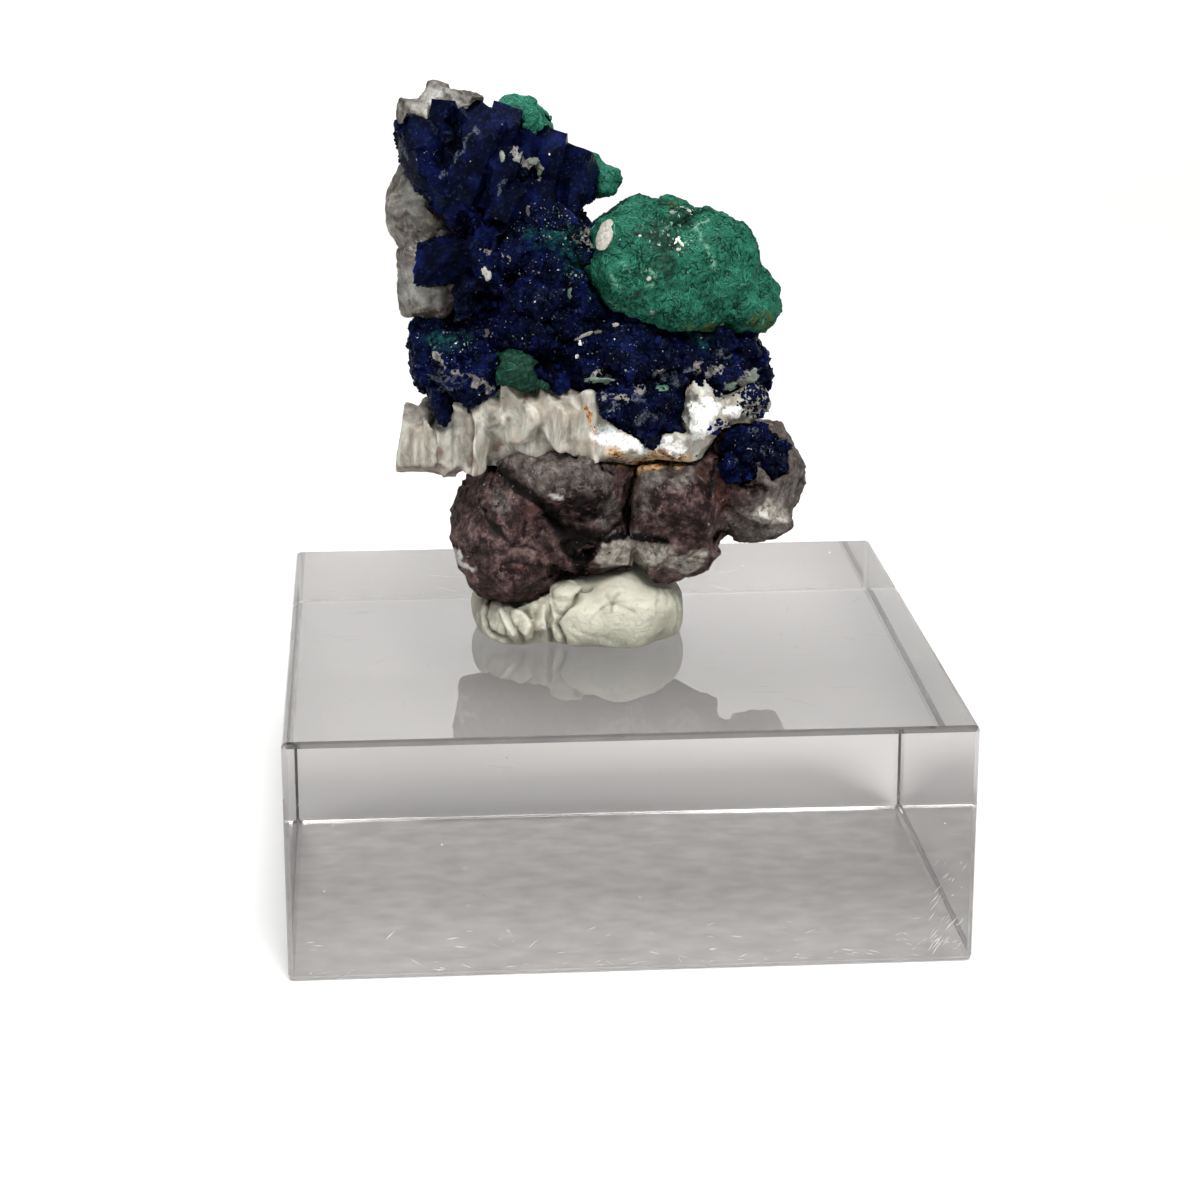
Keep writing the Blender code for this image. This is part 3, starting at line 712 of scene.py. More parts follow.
def grey_look():
    look = Look("grey_crystal", IOR=1.55, Specular_IOR_Level=0.4)
    grey = look.ramp(look.noise(1.4, 7.0, 0.7, 0.8), (0.36, (0.018, 0.013, 0.01)),
                     (0.46, (0.065, 0.054, 0.044)), (0.57, (0.145, 0.132, 0.112)),
                     (0.72, (0.34, 0.325, 0.29)))
    # pale and white are partly the crystals' own pale patches, partly painted light on their upper left.
    pale = look.ramp(look.noise(1.1, 6.0), (0.35, (0.09, 0.085, 0.075)), (0.65, (0.3, 0.3, 0.275)))
    vein = look.ramp(look.noise(0.9, 5.0, 0.7), (0.47, 0.0), (0.495, 0.6), (0.52, 0.0))
    grey = look.mix(vein, look.coat(grey, pale=pale, white=(0.33, 0.33, 0.31)), (0.03, 0.022, 0.018))
    sheen = look.ramp(look.noise(0.6), (0.35, 0.22), (0.7, 0.55))
    return look.use(grey, sheen, look.bump(look.noise(0.5, 5.0), 0.1))


def toned_look(name, stops, **values):
    """Many small shapes, each with its own tone between the colours of the stops."""
    look = Look(name, **values)
    return look.use(look.ramp(look.field("tone"), *stops))


def fibre_look():
    stops = ((0.0, (0.0006, 0.02, 0.012)), (0.3, (0.005, 0.075, 0.044)), (0.65, (0.021, 0.16, 0.102)),
             (1.0, (0.05, 0.245, 0.165)))
    return toned_look("malachite_fibre", stops, IOR=1.6, Specular_IOR_Level=0.1, Roughness=0.6)


def grain_look():
    stops = ((0.0, (0.03, 0.045, 0.09)), (0.4, (0.12, 0.14, 0.17)), (0.75, (0.32, 0.32, 0.33)),
             (1.0, (0.75, 0.74, 0.72)))
    return toned_look("pale_grain", stops, IOR=1.5, Specular_IOR_Level=0.4, Roughness=0.4)


def chalk_look():
    stops = ((0.0, (0.5, 0.49, 0.46)), (1.0, (0.88, 0.88, 0.86)))
    return toned_look("chalk_crumb", stops, IOR=1.55, Specular_IOR_Level=0.5, Roughness=0.8)


def rock_grain_look():
    stops = ((0.0, (0.03, 0.015, 0.015)), (1.0, (0.3, 0.25, 0.24)))
    return toned_look("rock_grain", stops, IOR=1.55, Specular_IOR_Level=0.5, Roughness=0.7)


def glint_look():
    stops = ((0.0, (0.004, 0.016, 0.012)), (1.0, (0.25, 0.42, 0.34)))
    return toned_look("dark_glint", stops, IOR=1.55, Specular_IOR_Level=0.5, Roughness=0.15)


def dust_look():
    stops = ((0.0, (0.03, 0.025, 0.025)), (0.4, (0.2, 0.18, 0.17)), (0.5, (0.7, 0.7, 0.68)),
             (1.0, (0.9, 0.9, 0.88)))
    return toned_look("dust", stops, Roughness=0.8)


def bit_look():
    look = Look("pale_bit", IOR=1.5, Specular_IOR_Level=0.5, Roughness=0.45)
    pale = look.ramp(look.field("tone"), (0.0, (0.02, 0.10, 0.06)), (0.15, (0.10, 0.2, 0.15)),
                     (0.4, (0.24, 0.23, 0.2)), (0.8, (0.46, 0.45, 0.4)), (1.0, (0.85, 0.85, 0.82)))
    fine = look.ramp(look.noise(0.25, 4.0), (0.3, (0.45, 0.43, 0.4)), (0.6, (1.0, 1.0, 1.0)))
    return look.use(look.mix(1.0, pale, fine, "MULTIPLY"), None, look.bump(look.noise(0.3, 4.0), 0.04))


def tack_look():
    look = Look("mineral_tack", IOR=1.5, Specular_IOR_Level=0.35, Subsurface_Weight=0.15,
                Subsurface_Scale=0.0005)
    pale = look.ramp(look.noise(1.8, 6.0), (0.32, (0.5, 0.495, 0.395)), (0.68, (0.68, 0.675, 0.56)))
    # Over the putty: shadow is painted shadow in the folds, rim a painted highlight on the ridges, crease
    # painted shade in the creases.
    pale = look.coat(pale, shadow=(0.36, 0.355, 0.28), rim=(0.8, 0.79, 0.68), crease=(0.1, 0.09, 0.06))
    speck = look.ramp(look.noise(0.3, 2.0), (0.26, 0.7), (0.31, 0.0))
    sheen = look.ramp(look.noise(1.0), (0.3, 0.42), (0.7, 0.62))
    return look.use(look.mix(speck, pale, (0.22, 0.2, 0.15)), sheen,
                    look.bump(look.noise(0.6, 7.0, 0.72, 1.2), 0.22))


def block_look():
    """Clear acrylic that dims a little with depth: frosted underneath, and finely scratched elsewhere."""
    look = Look("clear_acrylic", Base_Color=(1.0, 1.0, 1.0, 1.0), Transmission_Weight=1.0, IOR=1.49)
    height = look.nodes.new("ShaderNodeSeparateXYZ")
    look.links.new(look.place, height.inputs[0])
    near_foot = look.nodes.new("ShaderNodeMapRange")
    near_foot.inputs["From Min"].default_value = 0.3 * MM
    near_foot.inputs["From Max"].default_value = 0.1 * MM
    look.links.new(height.outputs["Z"], near_foot.inputs["Value"])
    scratch = look.ramp(look.noise(0.35, 1.0, 0.5, 1.5, (1.0, 0.06, 1.0)), (0.7, 0.0), (0.74, 1.0))
    other = look.ramp(look.noise(0.4, 1.0, 0.5, 1.2, (0.05, 0.8, 1.0)), (0.71, 0.0), (0.75, 1.0))
    patch = look.ramp(look.noise(9.0, 3.0), (0.45, 0.0), (0.7, 1.0))
    both = look.times(look.mix(patch, scratch, other), patch)
    haze = look.ramp(both, (0.0, 0.015), (1.0, 0.3))
    frost = look.ramp(look.noise(3.0, 4.0), (0.3, 0.34), (0.7, 0.5))
    absorb = look.nodes.new("ShaderNodeVolumeAbsorption")
    absorb.inputs["Color"].default_value = (0.37, 0.335, 0.33, 1.0)
    absorb.inputs["Density"].default_value = ABSORPTION
    look.links.new(absorb.outputs[0], look.nodes["Material Output"].inputs["Volume"])
    return look.use(None, look.mix(near_foot.outputs[0], haze, frost), look.bump(both, 0.01, 0.25))


def scratch_look():
    look = Look("scratch", Alpha=0.55, Roughness=0.5)
    return look.use(look.ramp(look.noise(0.8), (0.3, (0.5, 0.5, 0.5)), (0.7, (0.9, 0.9, 0.9))))


# Places in the photograph. A spot is u, v, half width, half height in pixels, and a turn in degrees.
# A line is its points, then its width and its depth in millimetres.
# A bit is a spot and its tone.

PLAIN_CRYSTALS = (
    (432, 150, 46, 44, 0), (478, 160, 42, 64, 25), (512, 190, 32, 34, 0), (550, 170, 36, 46, 0),
    (447, 262, 30, 33, 0),
)
TEAL_ZONES = (
    (553, 236, 30, 9, 0), (574, 256, 12, 14, 0), (601, 286, 11, 15, 0), (450, 340, 22, 8, 0),
    (700, 336, 9, 12, 0),
)
# Pale blue-grey patches on the azurite: real dust and grey smears, and painted highlights along its ridges
# and faces.
DUST_AND_HIGHLIGHT_ZONES = (
    (501, 184, 3.5, 13, 12), (463, 145, 3, 32, 32), (445, 178, 8, 5, 0), (478, 132, 6, 5, 0),
    (403, 152, 2, 12, 0), (455, 385, 24, 8, -30), (722, 352, 12, 8, 0), (638, 398, 9, 8, 0),
    (440, 376, 10, 8, 0), (646, 416, 12, 8, -20), (668, 380, 14, 8, 0), (612, 408, 9, 6, 0),
    (690, 372, 8, 8, 0),
)
CRUST_ZONES = (
    (528, 161, 15, 5, 8), (541, 168, 4, 9, 15), (518, 151, 4, 6, 0), (540, 179, 4, 3, 0),
    (485, 250, 7, 3, 30), (528, 212, 2, 10, 10), (591, 240, 4, 14, -15), (508, 255, 5, 2, 10),
    (577, 236, 10, 6, 0), (463, 376, 14, 4, 12), (476, 385, 5, 8, 50), (436, 358, 8, 5, 30),
    (491, 390, 5, 10, -40), (445, 366, 8, 3, 60), (716, 371, 12, 5, -15), (731, 386, 9, 7, 0),
    (699, 366, 6, 9, 0), (640, 388, 9, 8, 0), (488, 333, 8, 6, 0), (600, 379, 14, 8, 0),
    (749, 382, 11, 12, 0), (660, 372, 6, 4, 0), (621, 398, 10, 5, 0), (604, 395, 6, 6, 0),
)
# A crystal face darkened with painted shade.
SHADED_CRYSTAL = ((449, 262, 26, 28, 0),)
GRAIN_ZONES = (
    (428, 152, 10, 12, 0), (560, 270, 60, 60, 0), (640, 360, 70, 36, 0), (455, 350, 50, 40, 0),
    (640, 410, 40, 26, 0), (520, 330, 40, 20, 0), (550, 220, 40, 16, 0), (735, 360, 40, 24, 0),
)
GREEN_GRAIN_ZONES = ((560, 224, 42, 18, 0), (580, 262, 26, 26, 0), (455, 342, 30, 10, 0))
AZURITE_HOLLOWS = (
    (484, 298, 19, 15, -35), (552, 361, 22, 13, 20), (452, 130, 7, 24, 0), (512, 276, 9, 12, 0),
    (563, 340, 12, 6, 0), (610, 375, 10, 5, 0), (462, 225, 8, 12, 0), (500, 228, 16, 6, 20),
)
AZURITE_BITS = (
    (486, 272, 4, 6, -25, 0.75), (502, 155, 3, 6, -10, 0.3), (534, 161, 8, 3.5, 5, 0.32),
    (541, 170, 3, 6, 20, 0.28), (569, 292, 4, 9, 5, 0.12), (583, 336, 8, 2, -20, 0.4),
    (600, 331, 11, 2, -22, 0.36), (612, 326, 6, 2, -15, 0.4), (580, 343, 2.5, 3, 0, 1.0),
    (577, 356, 1.8, 3, 0, 1.0), (598, 380, 13, 6, 0, 0.22), (663, 388, 6, 6, 0, 0.06),
    (706, 368, 1.8, 3, 0, 0.9), (731, 386, 7, 6, 0, 0.22), (749, 380, 9, 11, 10, 0.3),
    (591, 238, 3, 9, -10, 0.35),
)
PATCH_DUST = ((752, 430, 10, 5, 20), (733, 462, 8, 6, 0), (765, 452, 6, 8, 0))

MALACHITE_FILL = ((672, 212, 20, 12, 0),)
# Painted shade on the malachite, over its hollows and much of the low patch.
MALACHITE_SHADE = (
    (664, 238, 17, 19, 20), (684, 218, 12, 8, 20), (692, 237, 6, 4, 0), (668, 262, 8, 14, 0),
    (640, 232, 7, 5, 0), (664, 205, 5, 4, 0), (708, 211, 6, 4, 0), (606, 206, 8, 5, 0), (714, 338, 10, 10, 0),
    (635, 291, 8, 6, 0), (496, 352, 12, 8, 20), (532, 366, 10, 12, 0), (506, 362, 6, 6, 0),
    (526, 384, 6, 8, 0),
)
OLIVE_ZONES = ((764, 320, 13, 12, 0), (700, 330, 20, 5, 0), (671, 208, 6, 6, 0))
SPARKLE_ZONES = ((672, 236, 26, 22, 0), (686, 212, 12, 6, 0))
PALE_LINES = (
    ((697, 229), (701, 240), (707, 250), (712, 260), (716, 268)), ((694, 228), (701, 222), (708, 220)),
    ((610, 272), (613, 281), (618, 287)), ((596, 295), (603, 300), (611, 303), (618, 310), (625, 309)),
    ((640, 272), (650, 270), (655, 276), (652, 284), (645, 286)), ((622, 262), (626, 270), (630, 272)),
    ((598, 212), (604, 206), (612, 202)),
)
MALACHITE_BITS = (
    (677, 240, 2, 6, 30, 0.95), (681, 243, 2, 5, -35, 0.9), (679, 249, 3, 2, 0, 0.7),
    (688, 210, 4, 1.6, 25, 0.85), (682, 207, 3, 1.4, 15, 0.7), (673, 212, 3, 2, 0, 0.4),
    (649, 279, 2.4, 2.2, 0, 0.7), (640, 236, 1.4, 1.2, 0, 0.9), (727, 273, 1.2, 3, 0, 0.75),
    (722, 324, 3, 2, 10, 0.6), (712, 322, 3, 1.4, 15, 0.55), (652, 313, 3, 4, 30, 0.35),
)
OVAL_CRYSTAL = ((605, 235, 8.5, 17.5, 4, 0.6),)

WHITE_GROOVES = (
    (((433, 408), (433, 430), (435, 450), (438, 466)), 0.2, 0.6),
    (((450, 424), (450, 440), (449, 462)), 0.14, 0.25),
    (((469, 405), (470, 425), (469, 450), (468, 470)), 0.14, 0.9),
    (((522, 390), (518, 410), (516, 440)), 0.5, 0.16), (((553, 388), (556, 412), (553, 440)), 0.5, 0.14),
    (((500, 408), (497, 424), (494, 440)), 0.3, 0.12),
)
WHITE_SAG = ((524, 446, 40, 18, 0),)
WHITE_BLOCKS = ((705, 402, 62, 32, 0),)
WHITE_TEETH = ((434, 430, 40, 50, 0),)
WHITE_TEETH_FOOT = ((432, 468, 40, 9, 0),)
WHITE_GREY = ((686, 405, 14, 28, 0), (752, 388, 16, 14, 0), (748, 414, 30, 12, 0))
WHITE_BROWN = (
    (471, 458, 3, 12, 0), (508, 418, 3, 3, 0), (523, 398, 3, 5, 30), (440, 452, 3, 8, 0), (497, 445, 8, 4, 0),
)
WHITE_TEAL = ((562, 385, 15, 5, 0),)
GREEN_CRUMB_ZONES = ((562, 384, 17, 6, 0), (500, 392, 8, 5, 0))
CHALK_ZONES = (
    (604, 434, 13, 10, 35), (622, 442, 16, 8, 15), (648, 447, 17, 7, 0), (674, 449, 13, 6, 0),
    (664, 438, 9, 4, 0), (712, 404, 9, 7, 20), (704, 421, 9, 14, 25), (732, 410, 12, 4, -15),
    (697, 411, 7, 5, 0), (700, 434, 4, 6, 0),
)
RUST_ZONES = (
    (588, 412, 4, 12, -15), (596, 428, 4, 7, 0), (616, 456, 14, 6, 15), (667, 458, 24, 9, 0),
    (645, 464, 10, 6, 0), (633, 468, 6, 8, 0),
)
STRAY_AZURITE = ((752, 396, 16, 16, 0), (728, 388, 14, 5, -15), (640, 420, 16, 10, 20), (720, 428, 9, 7, 0))

ROCK_LINES = (
    (
        ((498, 468), (507, 478), (521, 490), (535, 498), (548, 508), (560, 524), (577, 534), (597, 537)),
        0.42, 0.7,
    ),
    (((549, 512), (560, 527), (577, 537)), 0.6, 0.5),
    (((635, 465), (632, 482), (628, 500), (626, 515), (627, 533)), 0.13, 0.5),
    (((626, 508), (626, 520), (628, 534)), 0.28, 0.4),
    (((585, 543), (597, 538), (607, 533), (620, 524)), 0.28, 0.5),
    (((607, 540), (617, 537), (628, 535), (645, 537), (667, 541)), 0.24, 0.5),
    (((564, 543), (573, 553), (581, 570)), 0.5, 0.7), (((581, 570), (589, 556), (598, 542)), 0.3, 0.5),
    (((478, 500), (485, 516), (496, 532), (512, 544), (534, 549)), 0.14, 0.2),
    (((523, 522), (524, 533)), 0.16, 0.15),
    (((544, 444), (556, 442), (570, 446), (584, 447), (598, 453), (615, 456), (617, 464)), 0.22, 0.45),
    (((598, 456), (602, 470), (612, 474)), 0.14, 0.4), (((708, 497), (712, 480), (716, 462)), 0.15, 0.4),
    (((700, 436), (710, 447), (722, 458)), 0.15, 0.4), (((500, 566), (516, 562), (540, 566)), 0.12, 0.15),
)
ROCK_RECESSES = (
    (583, 507, 24, 15, -10), (752, 489, 15, 9, 15), (579, 549, 14, 9, 10), (580, 560, 6, 9, 0),
    (548, 510, 10, 5, 35), (557, 570, 12, 8, 0),
)
ROCK_NOTCH = ((724, 540, 9, 12, 0),)
ROCK_RIM = ((632, 569, 19, 4, -3),)
GREY_ZONES = (
    (545, 466, 52, 20, 10), (590, 475, 24, 24, 0), (550, 487, 30, 10, 15), (608, 515, 12, 20, 15),
    (775, 470, 36, 60, 0), (748, 416, 30, 14, 0), (756, 525, 34, 18, 0), (496, 500, 8, 16, -20),
    (700, 470, 12, 10, 0), (666, 480, 30, 13, 0), (640, 500, 10, 16, 0),
)
SLAB_ZONES = (
    (622, 546, 28, 13, 0), (650, 556, 24, 14, 0), (770, 515, 22, 10, 5), (606, 556, 10, 12, 0),
    (748, 414, 22, 12, 0), (690, 560, 22, 10, -20),
)
# Near-black blotches on the rock: partly its own mottling, partly painted shade in its recesses.
MOTTLE_AND_SHADE_ZONES = (
    (583, 505, 34, 24, 0), (680, 503, 46, 26, 0), (640, 520, 16, 12, 0), (530, 575, 50, 16, 0),
    (500, 480, 14, 14, 0), (724, 490, 14, 24, 0), (500, 515, 8, 16, -30), (505, 530, 26, 26, 0),
)
PINK_ZONES = ((530, 511, 9, 8, 0), (524, 524, 6, 10, 0), (508, 568, 20, 6, 0))
WINE_ZONES = ((722, 440, 14, 19, -20), (722, 492, 8, 20, 0), (705, 470, 9, 7, 0))
ROCK_RUST_ZONES = ((664, 461, 30, 7, 0), (633, 470, 6, 10, 0), (640, 463, 12, 7, 0), (618, 460, 10, 5, 10))
ROCK_PALE_ZONES = (
    (633, 563, 19, 1.6, -2), (456, 556, 4, 10, -15), (770, 517, 18, 3, 15), (556, 497, 8, 2.5, 25),
    (468, 566, 10, 2.5, 15),
)
# Pale and white spots on the grey crystals: partly their own pale patches, partly painted light on their
# upper left.
GREY_PALE_AND_LIT_ZONES = ((437, 100, 14, 14, 0), (425, 285, 26, 24, 0), (414, 195, 12, 18, 0), (466, 112, 14, 10, 0))
GREY_WHITE_AND_HIGHLIGHT_ZONES = ((437, 98, 8, 9, 0), (430, 112, 6, 3, 0))

TACK_CREASES = (
    (
        ((592, 587), (584, 593), (576, 601), (567, 608), (560, 615), (557, 625), (561, 634), (567, 646)),
        0.13, 0.5,
    ),
    (((555, 592), (553, 600), (554, 608), (557, 614)), 0.1, 0.25),
    (((550, 608), (548, 620), (550, 632), (553, 644)), 0.2, 0.32),
    (((504, 603), (513, 597), (524, 594)), 0.12, 0.2), (((508, 612), (514, 626), (524, 640)), 0.12, 0.28),
    (((515, 607), (521, 605), (527, 611), (531, 617)), 0.16, 0.4),
    (((536, 612), (534, 622), (536, 636)), 0.16, 0.25),
    (((494, 596), (487, 605), (485, 616), (489, 628), (494, 633)), 0.11, 0.42),
    (((494, 633), (507, 639), (524, 646), (548, 649)), 0.1, 0.3),
    (((557, 591), (566, 586), (577, 587), (588, 590)), 0.1, 0.12),
    (((600, 609), (607, 603), (611, 601)), 0.07, 0.22), (((606, 595), (611, 601)), 0.06, 0.16),
    (((619, 593), (614, 597), (611, 601)), 0.07, 0.2), (((634, 612), (618, 603), (611, 601)), 0.05, 0.16),
    (((610, 612), (611, 601)), 0.07, 0.22), (((624, 600), (611, 601)), 0.04, 0.12),
    (((657, 589), (659, 597), (657, 605)), 0.07, 0.1), (((663, 588), (668, 596), (668, 604)), 0.07, 0.12),
    (((672, 592), (679, 603), (680, 618), (675, 632)), 0.08, 0.16),
    (((680, 596), (684, 608), (683, 624)), 0.08, 0.12), (((572, 626), (582, 633), (596, 637)), 0.06, 0.1),
    (((569, 632), (580, 641), (594, 646)), 0.06, 0.08), (((600, 636), (612, 641), (628, 643)), 0.06, 0.06),
    (((640, 640), (655, 637), (668, 632)), 0.06, 0.07), (((600, 590), (612, 586), (628, 586)), 0.07, 0.05),
    (((596, 612), (590, 622), (592, 630)), 0.06, 0.06),
)
TACK_RIDGES = (
    (((497, 593), (488, 600), (484, 612), (486, 626), (493, 638), (508, 646), (530, 650)), 0.2, 0.22),
    (((544, 607), (542, 620), (545, 634), (549, 645)), 0.15, 0.25),
    (((553, 597), (552, 609), (557, 620), (555, 634), (563, 646)), 0.17, 0.28),
    (((516, 612), (524, 617), (529, 625), (526, 633)), 0.18, 0.18),
    (((502, 612), (506, 622), (514, 634)), 0.18, 0.2),
    (((505, 601), (516, 594), (530, 594), (540, 599)), 0.25, 0.15),
    (((500, 604), (502, 614), (510, 630)), 0.12, 0.1),
)
TACK_SWELL = ((568, 592, 17, 9, 0),)
TACK_FOLDED = ((512, 618, 42, 34, 0),)


# The pieces

def make_azurite():
    """Crystals with broken facets, plain on the large ones and the tip, under a coat of small crystals."""
    rng = np.random.default_rng(5)
    skin = Skin("azurite_crystals", voxel=0.2, crisp=True)
    high = smoothstep(35.5, 38.5, skin.points[:, 2] + 0.3 * skin.points[:, 0])
    share = 1 - np.maximum(skin.spots(PLAIN_CRYSTALS, 4.0), high)
    facets, _ = broken(skin.points, 1.2, 5)
    fine, _ = broken(skin.points, 0.5, 6)
    hollows = skin.spots(AZURITE_HOLLOWS, 4.0)
    skin.push(share * (0.28 * facets + 0.12 * fine) + (1 - share) * 0.035 * rough(skin.points, 1.0, 7)
              - 0.8 * hollows)
    skin.paint("tone", 0.15 + 0.4 * cell_random(np.floor(skin.points / 1.1), 3, 1)[:, 0])
    skin.paint("teal", 0.75 * teal_share(skin.points) * share)
    # The dust field holds real dust and painted highlights along the ridges and faces.
    skin.paint_zones((("dust", 1.0, 6.0, DUST_AND_HIGHLIGHT_ZONES), ("crust", 1.0, 5.0, CRUST_ZONES)))
    # Painted shade: near black in the hollows, and half dark over one crystal face.
    skin.paint("shade", np.maximum(0.9 * hollows, 0.5 * skin.spots(SHADED_CRYSTAL, 3.0)))
    skin.finish("azurite_body", "azurite", crease=30)
    cover = np.clip(share - 0.8 * hollows, 0.0, 1) + 0.004
    upper = smoothstep(27.5, 26.5, skin.points[:, 2])
    druse_on("azurite_druse_lower", skin, 7600, (0.05, 0.27), rng, cover * upper, teal_share)
    druse_on("azurite_druse_upper", skin, 4600, (0.05, 0.25), rng, cover * (1 - upper), teal_share)
    grained = 0.12 * share + 0.02 + skin.spots(GRAIN_ZONES, 8.0)
    grains_on("azurite_grains", skin, 2600, (0.03, 0.12), rng, "grain", grained, dim=2.2)
    grains_on("azurite_green_grains", skin, 520, (0.04, 0.17), rng, "glint",
              skin.spots(GREEN_GRAIN_ZONES, 6.0), dim=1.5)
    bits_on("azurite_pale_bits", skin, AZURITE_BITS, seed=100)


def teal_share(points):
    """How greenish the azurite is at each place, from 0 to 1."""
    pixels = shaken_pixels(points, 1.4, 21, 6)
    near = np.full(len(points), 9.0)
    for u, v, half_u, half_v, _ in TEAL_ZONES:
        near = np.minimum(near, np.hypot((pixels[:, 0] - u) / half_u, (pixels[:, 1] - v) / half_v))
    return (1 - smoothstep(0.6, 1.5, near)) * smoothstep(-0.35, 0.25, rough(points, 0.8, 65, 3))


def make_patch():
    """The small azurite cluster at the right."""
    rng = np.random.default_rng(6)
    skin = Skin("azurite_patch", voxel=0.14, crisp=True)
    facets, _ = broken(skin.points, 0.9, 15)
    skin.push(0.16 * facets)
    skin.paint("tone", 0.4 * cell_random(np.floor(skin.points / 0.9), 3, 1)[:, 0])
    skin.paint("dust", skin.spots(PATCH_DUST, 4.0))
    skin.finish("azurite_cluster", "azurite", crease=30)
    druse_on("azurite_cluster_druse", skin, 1300, (0.05, 0.24), rng)
    grains_on("azurite_cluster_grains", skin, 260, (0.03, 0.12), rng, "grain")


def make_malachite():
    """Lumpy green masses under matted fibres, and the pale bits that sit on the largest one."""
    rng = np.random.default_rng(7)
    # Each row: node, piece, fibres, their length, their tone, and the painted shade over the whole skin. The
    # low patch's low fibre tone is painted shade too.
    for node, name, fibres, length, tone, shadow in (
        ("malachite_mass", "malachite_body", 5200, 1.1, 0.27, 0.0),
        ("malachite_tuft", "malachite_top_tuft", 500, 0.9, 0.75, 0.0),
        ("malachite_bead", "malachite_round_bead", 320, 0.8, 0.35, 0.0),
        ("malachite_patch", "malachite_low_patch", 200, 0.8, -0.15, 0.88),
    ):
        skin = Skin(node, voxel=0.19)
        skin.push(0.7 * skin.spots(MALACHITE_FILL, 0.0, through=True))
        skin.push(0.26 * rough(skin.points, 2.4, 31) + 0.15 * rough(skin.points, 0.7, 33))
        skin.push(0.06 * noise(skin.points, 0.3, 35))
        # The dark field is painted shade: over the listed spots, broken by noise, and over a whole skin by
        # its shadow.
        dark = skin.spots(MALACHITE_SHADE, 8.0)
        mottled_shade = 0.95 * dark * smoothstep(-0.6, 0.0, rough(skin.points, 0.7, 36))
        skin.paint("dark", np.maximum(mottled_shade, shadow))
        skin.paint("olive", 0.8 * skin.spots(OLIVE_ZONES, 6.0))
        skin.paint("pale", 0.9 * np.maximum.reduce([skin.near_line(path, 0.09) for path in PALE_LINES]))
        skin.finish(name, "malachite")
        fibres_on(name + "_fibres", skin, fibres, length, rng, 1 - 0.97 * dark, tone)
        if node == "malachite_mass":
            grains_on("malachite_sparkles", skin, 170, (0.05, 0.2), rng, "glint",
                      skin.spots(SPARKLE_ZONES, 5.0) + 0.006)
            bits_on("malachite_pale_bits", skin, MALACHITE_BITS, seed=160)
            bits_on("malachite_oval_crystal", skin, OVAL_CRYSTAL, seed=190, ragged=0.1)


def make_white():
    """A band of pale columns, chalky and broken to the right and grooved to the left."""
    rng = np.random.default_rng(8)
    skin = Skin("white_band", voxel=0.18)
    chalk = skin.spots(CHALK_ZONES, 5.0)
    grey = skin.spots(WHITE_GREY, 5.0)
    grooves, mark = skin.trace(WHITE_GROOVES, 1.5, ink=1.0)
    flute = skin.points * np.array((1.0, 1.0, 0.22))
    facets, _ = broken(skin.points, 1.1, 45)
    skin.points[:, 2] -= 0.6 * skin.spots(WHITE_SAG, 0.0, through=True)
    skin.write()
    skin.push((1 - chalk) * (0.06 * rough(flute, 1.7, 41, 3) + 0.02 * rough(flute, 0.5, 42, 3)) - grooves
              + 0.08 * rough(skin.points, 2.2, 43, 3)
              + chalk * (0.2 * facets + 0.14 * rough(skin.points, 0.5, 44)) + 0.2 * grey * facets)
    blocks, _ = broken(skin.points, 2.0, 47)
    skin.push(0.42 * blocks * skin.spots(WHITE_BLOCKS, 4.0))
    skin.paint("chalk", chalk)
    # Grey on the left teeth is painted shade; the listed grey spots are the mineral's own grey.
    shaded_teeth = skin.spots(WHITE_TEETH, 4.0) * smoothstep(-0.4, 0.6, rough(skin.points, 1.6, 46))
    skin.paint("grey", np.maximum(grey, 0.45 * shaded_teeth) * (1 - chalk))
    # Brown: painted shade on the faces that look down at the teeth's foot, and brown stains in the listed
    # spots.
    under = smoothstep(0.25, 0.75, -skin.normals[:, 2]) * skin.spots(WHITE_TEETH_FOOT, 2.0)
    skin.paint("brown", 0.75 * np.maximum(under, skin.spots(WHITE_BROWN, 5.0)))
    # Painted shade in the grooves, darker for the deeper ones.
    skin.paint("dark", 1.1 * mark * smoothstep(0.3, 0.7, mark))
    skin.paint("rust", skin.spots(RUST_ZONES, 5.0) * (1 - 0.4 * chalk))
    skin.paint("teal", 0.8 * skin.spots(WHITE_TEAL, 4.0))
    skin.finish("white_columns", "white", crease=50)
    grains_on("chalk_crumbs", skin, 650, (0.05, 0.22), rng, "chalk", chalk)
    grains_on("green_crumbs", skin, 110, (0.04, 0.16), rng, "fibre", skin.spots(GREEN_CRUMB_ZONES, 3.0))
    druse_on("azurite_on_white", skin, 700, (0.05, 0.24), rng, skin.spots(STRAY_AZURITE, 7.0))
    grains_on("rust_crumbs", skin, 160, (0.04, 0.16), rng, "rock", skin.spots(RUST_ZONES, 5.0))


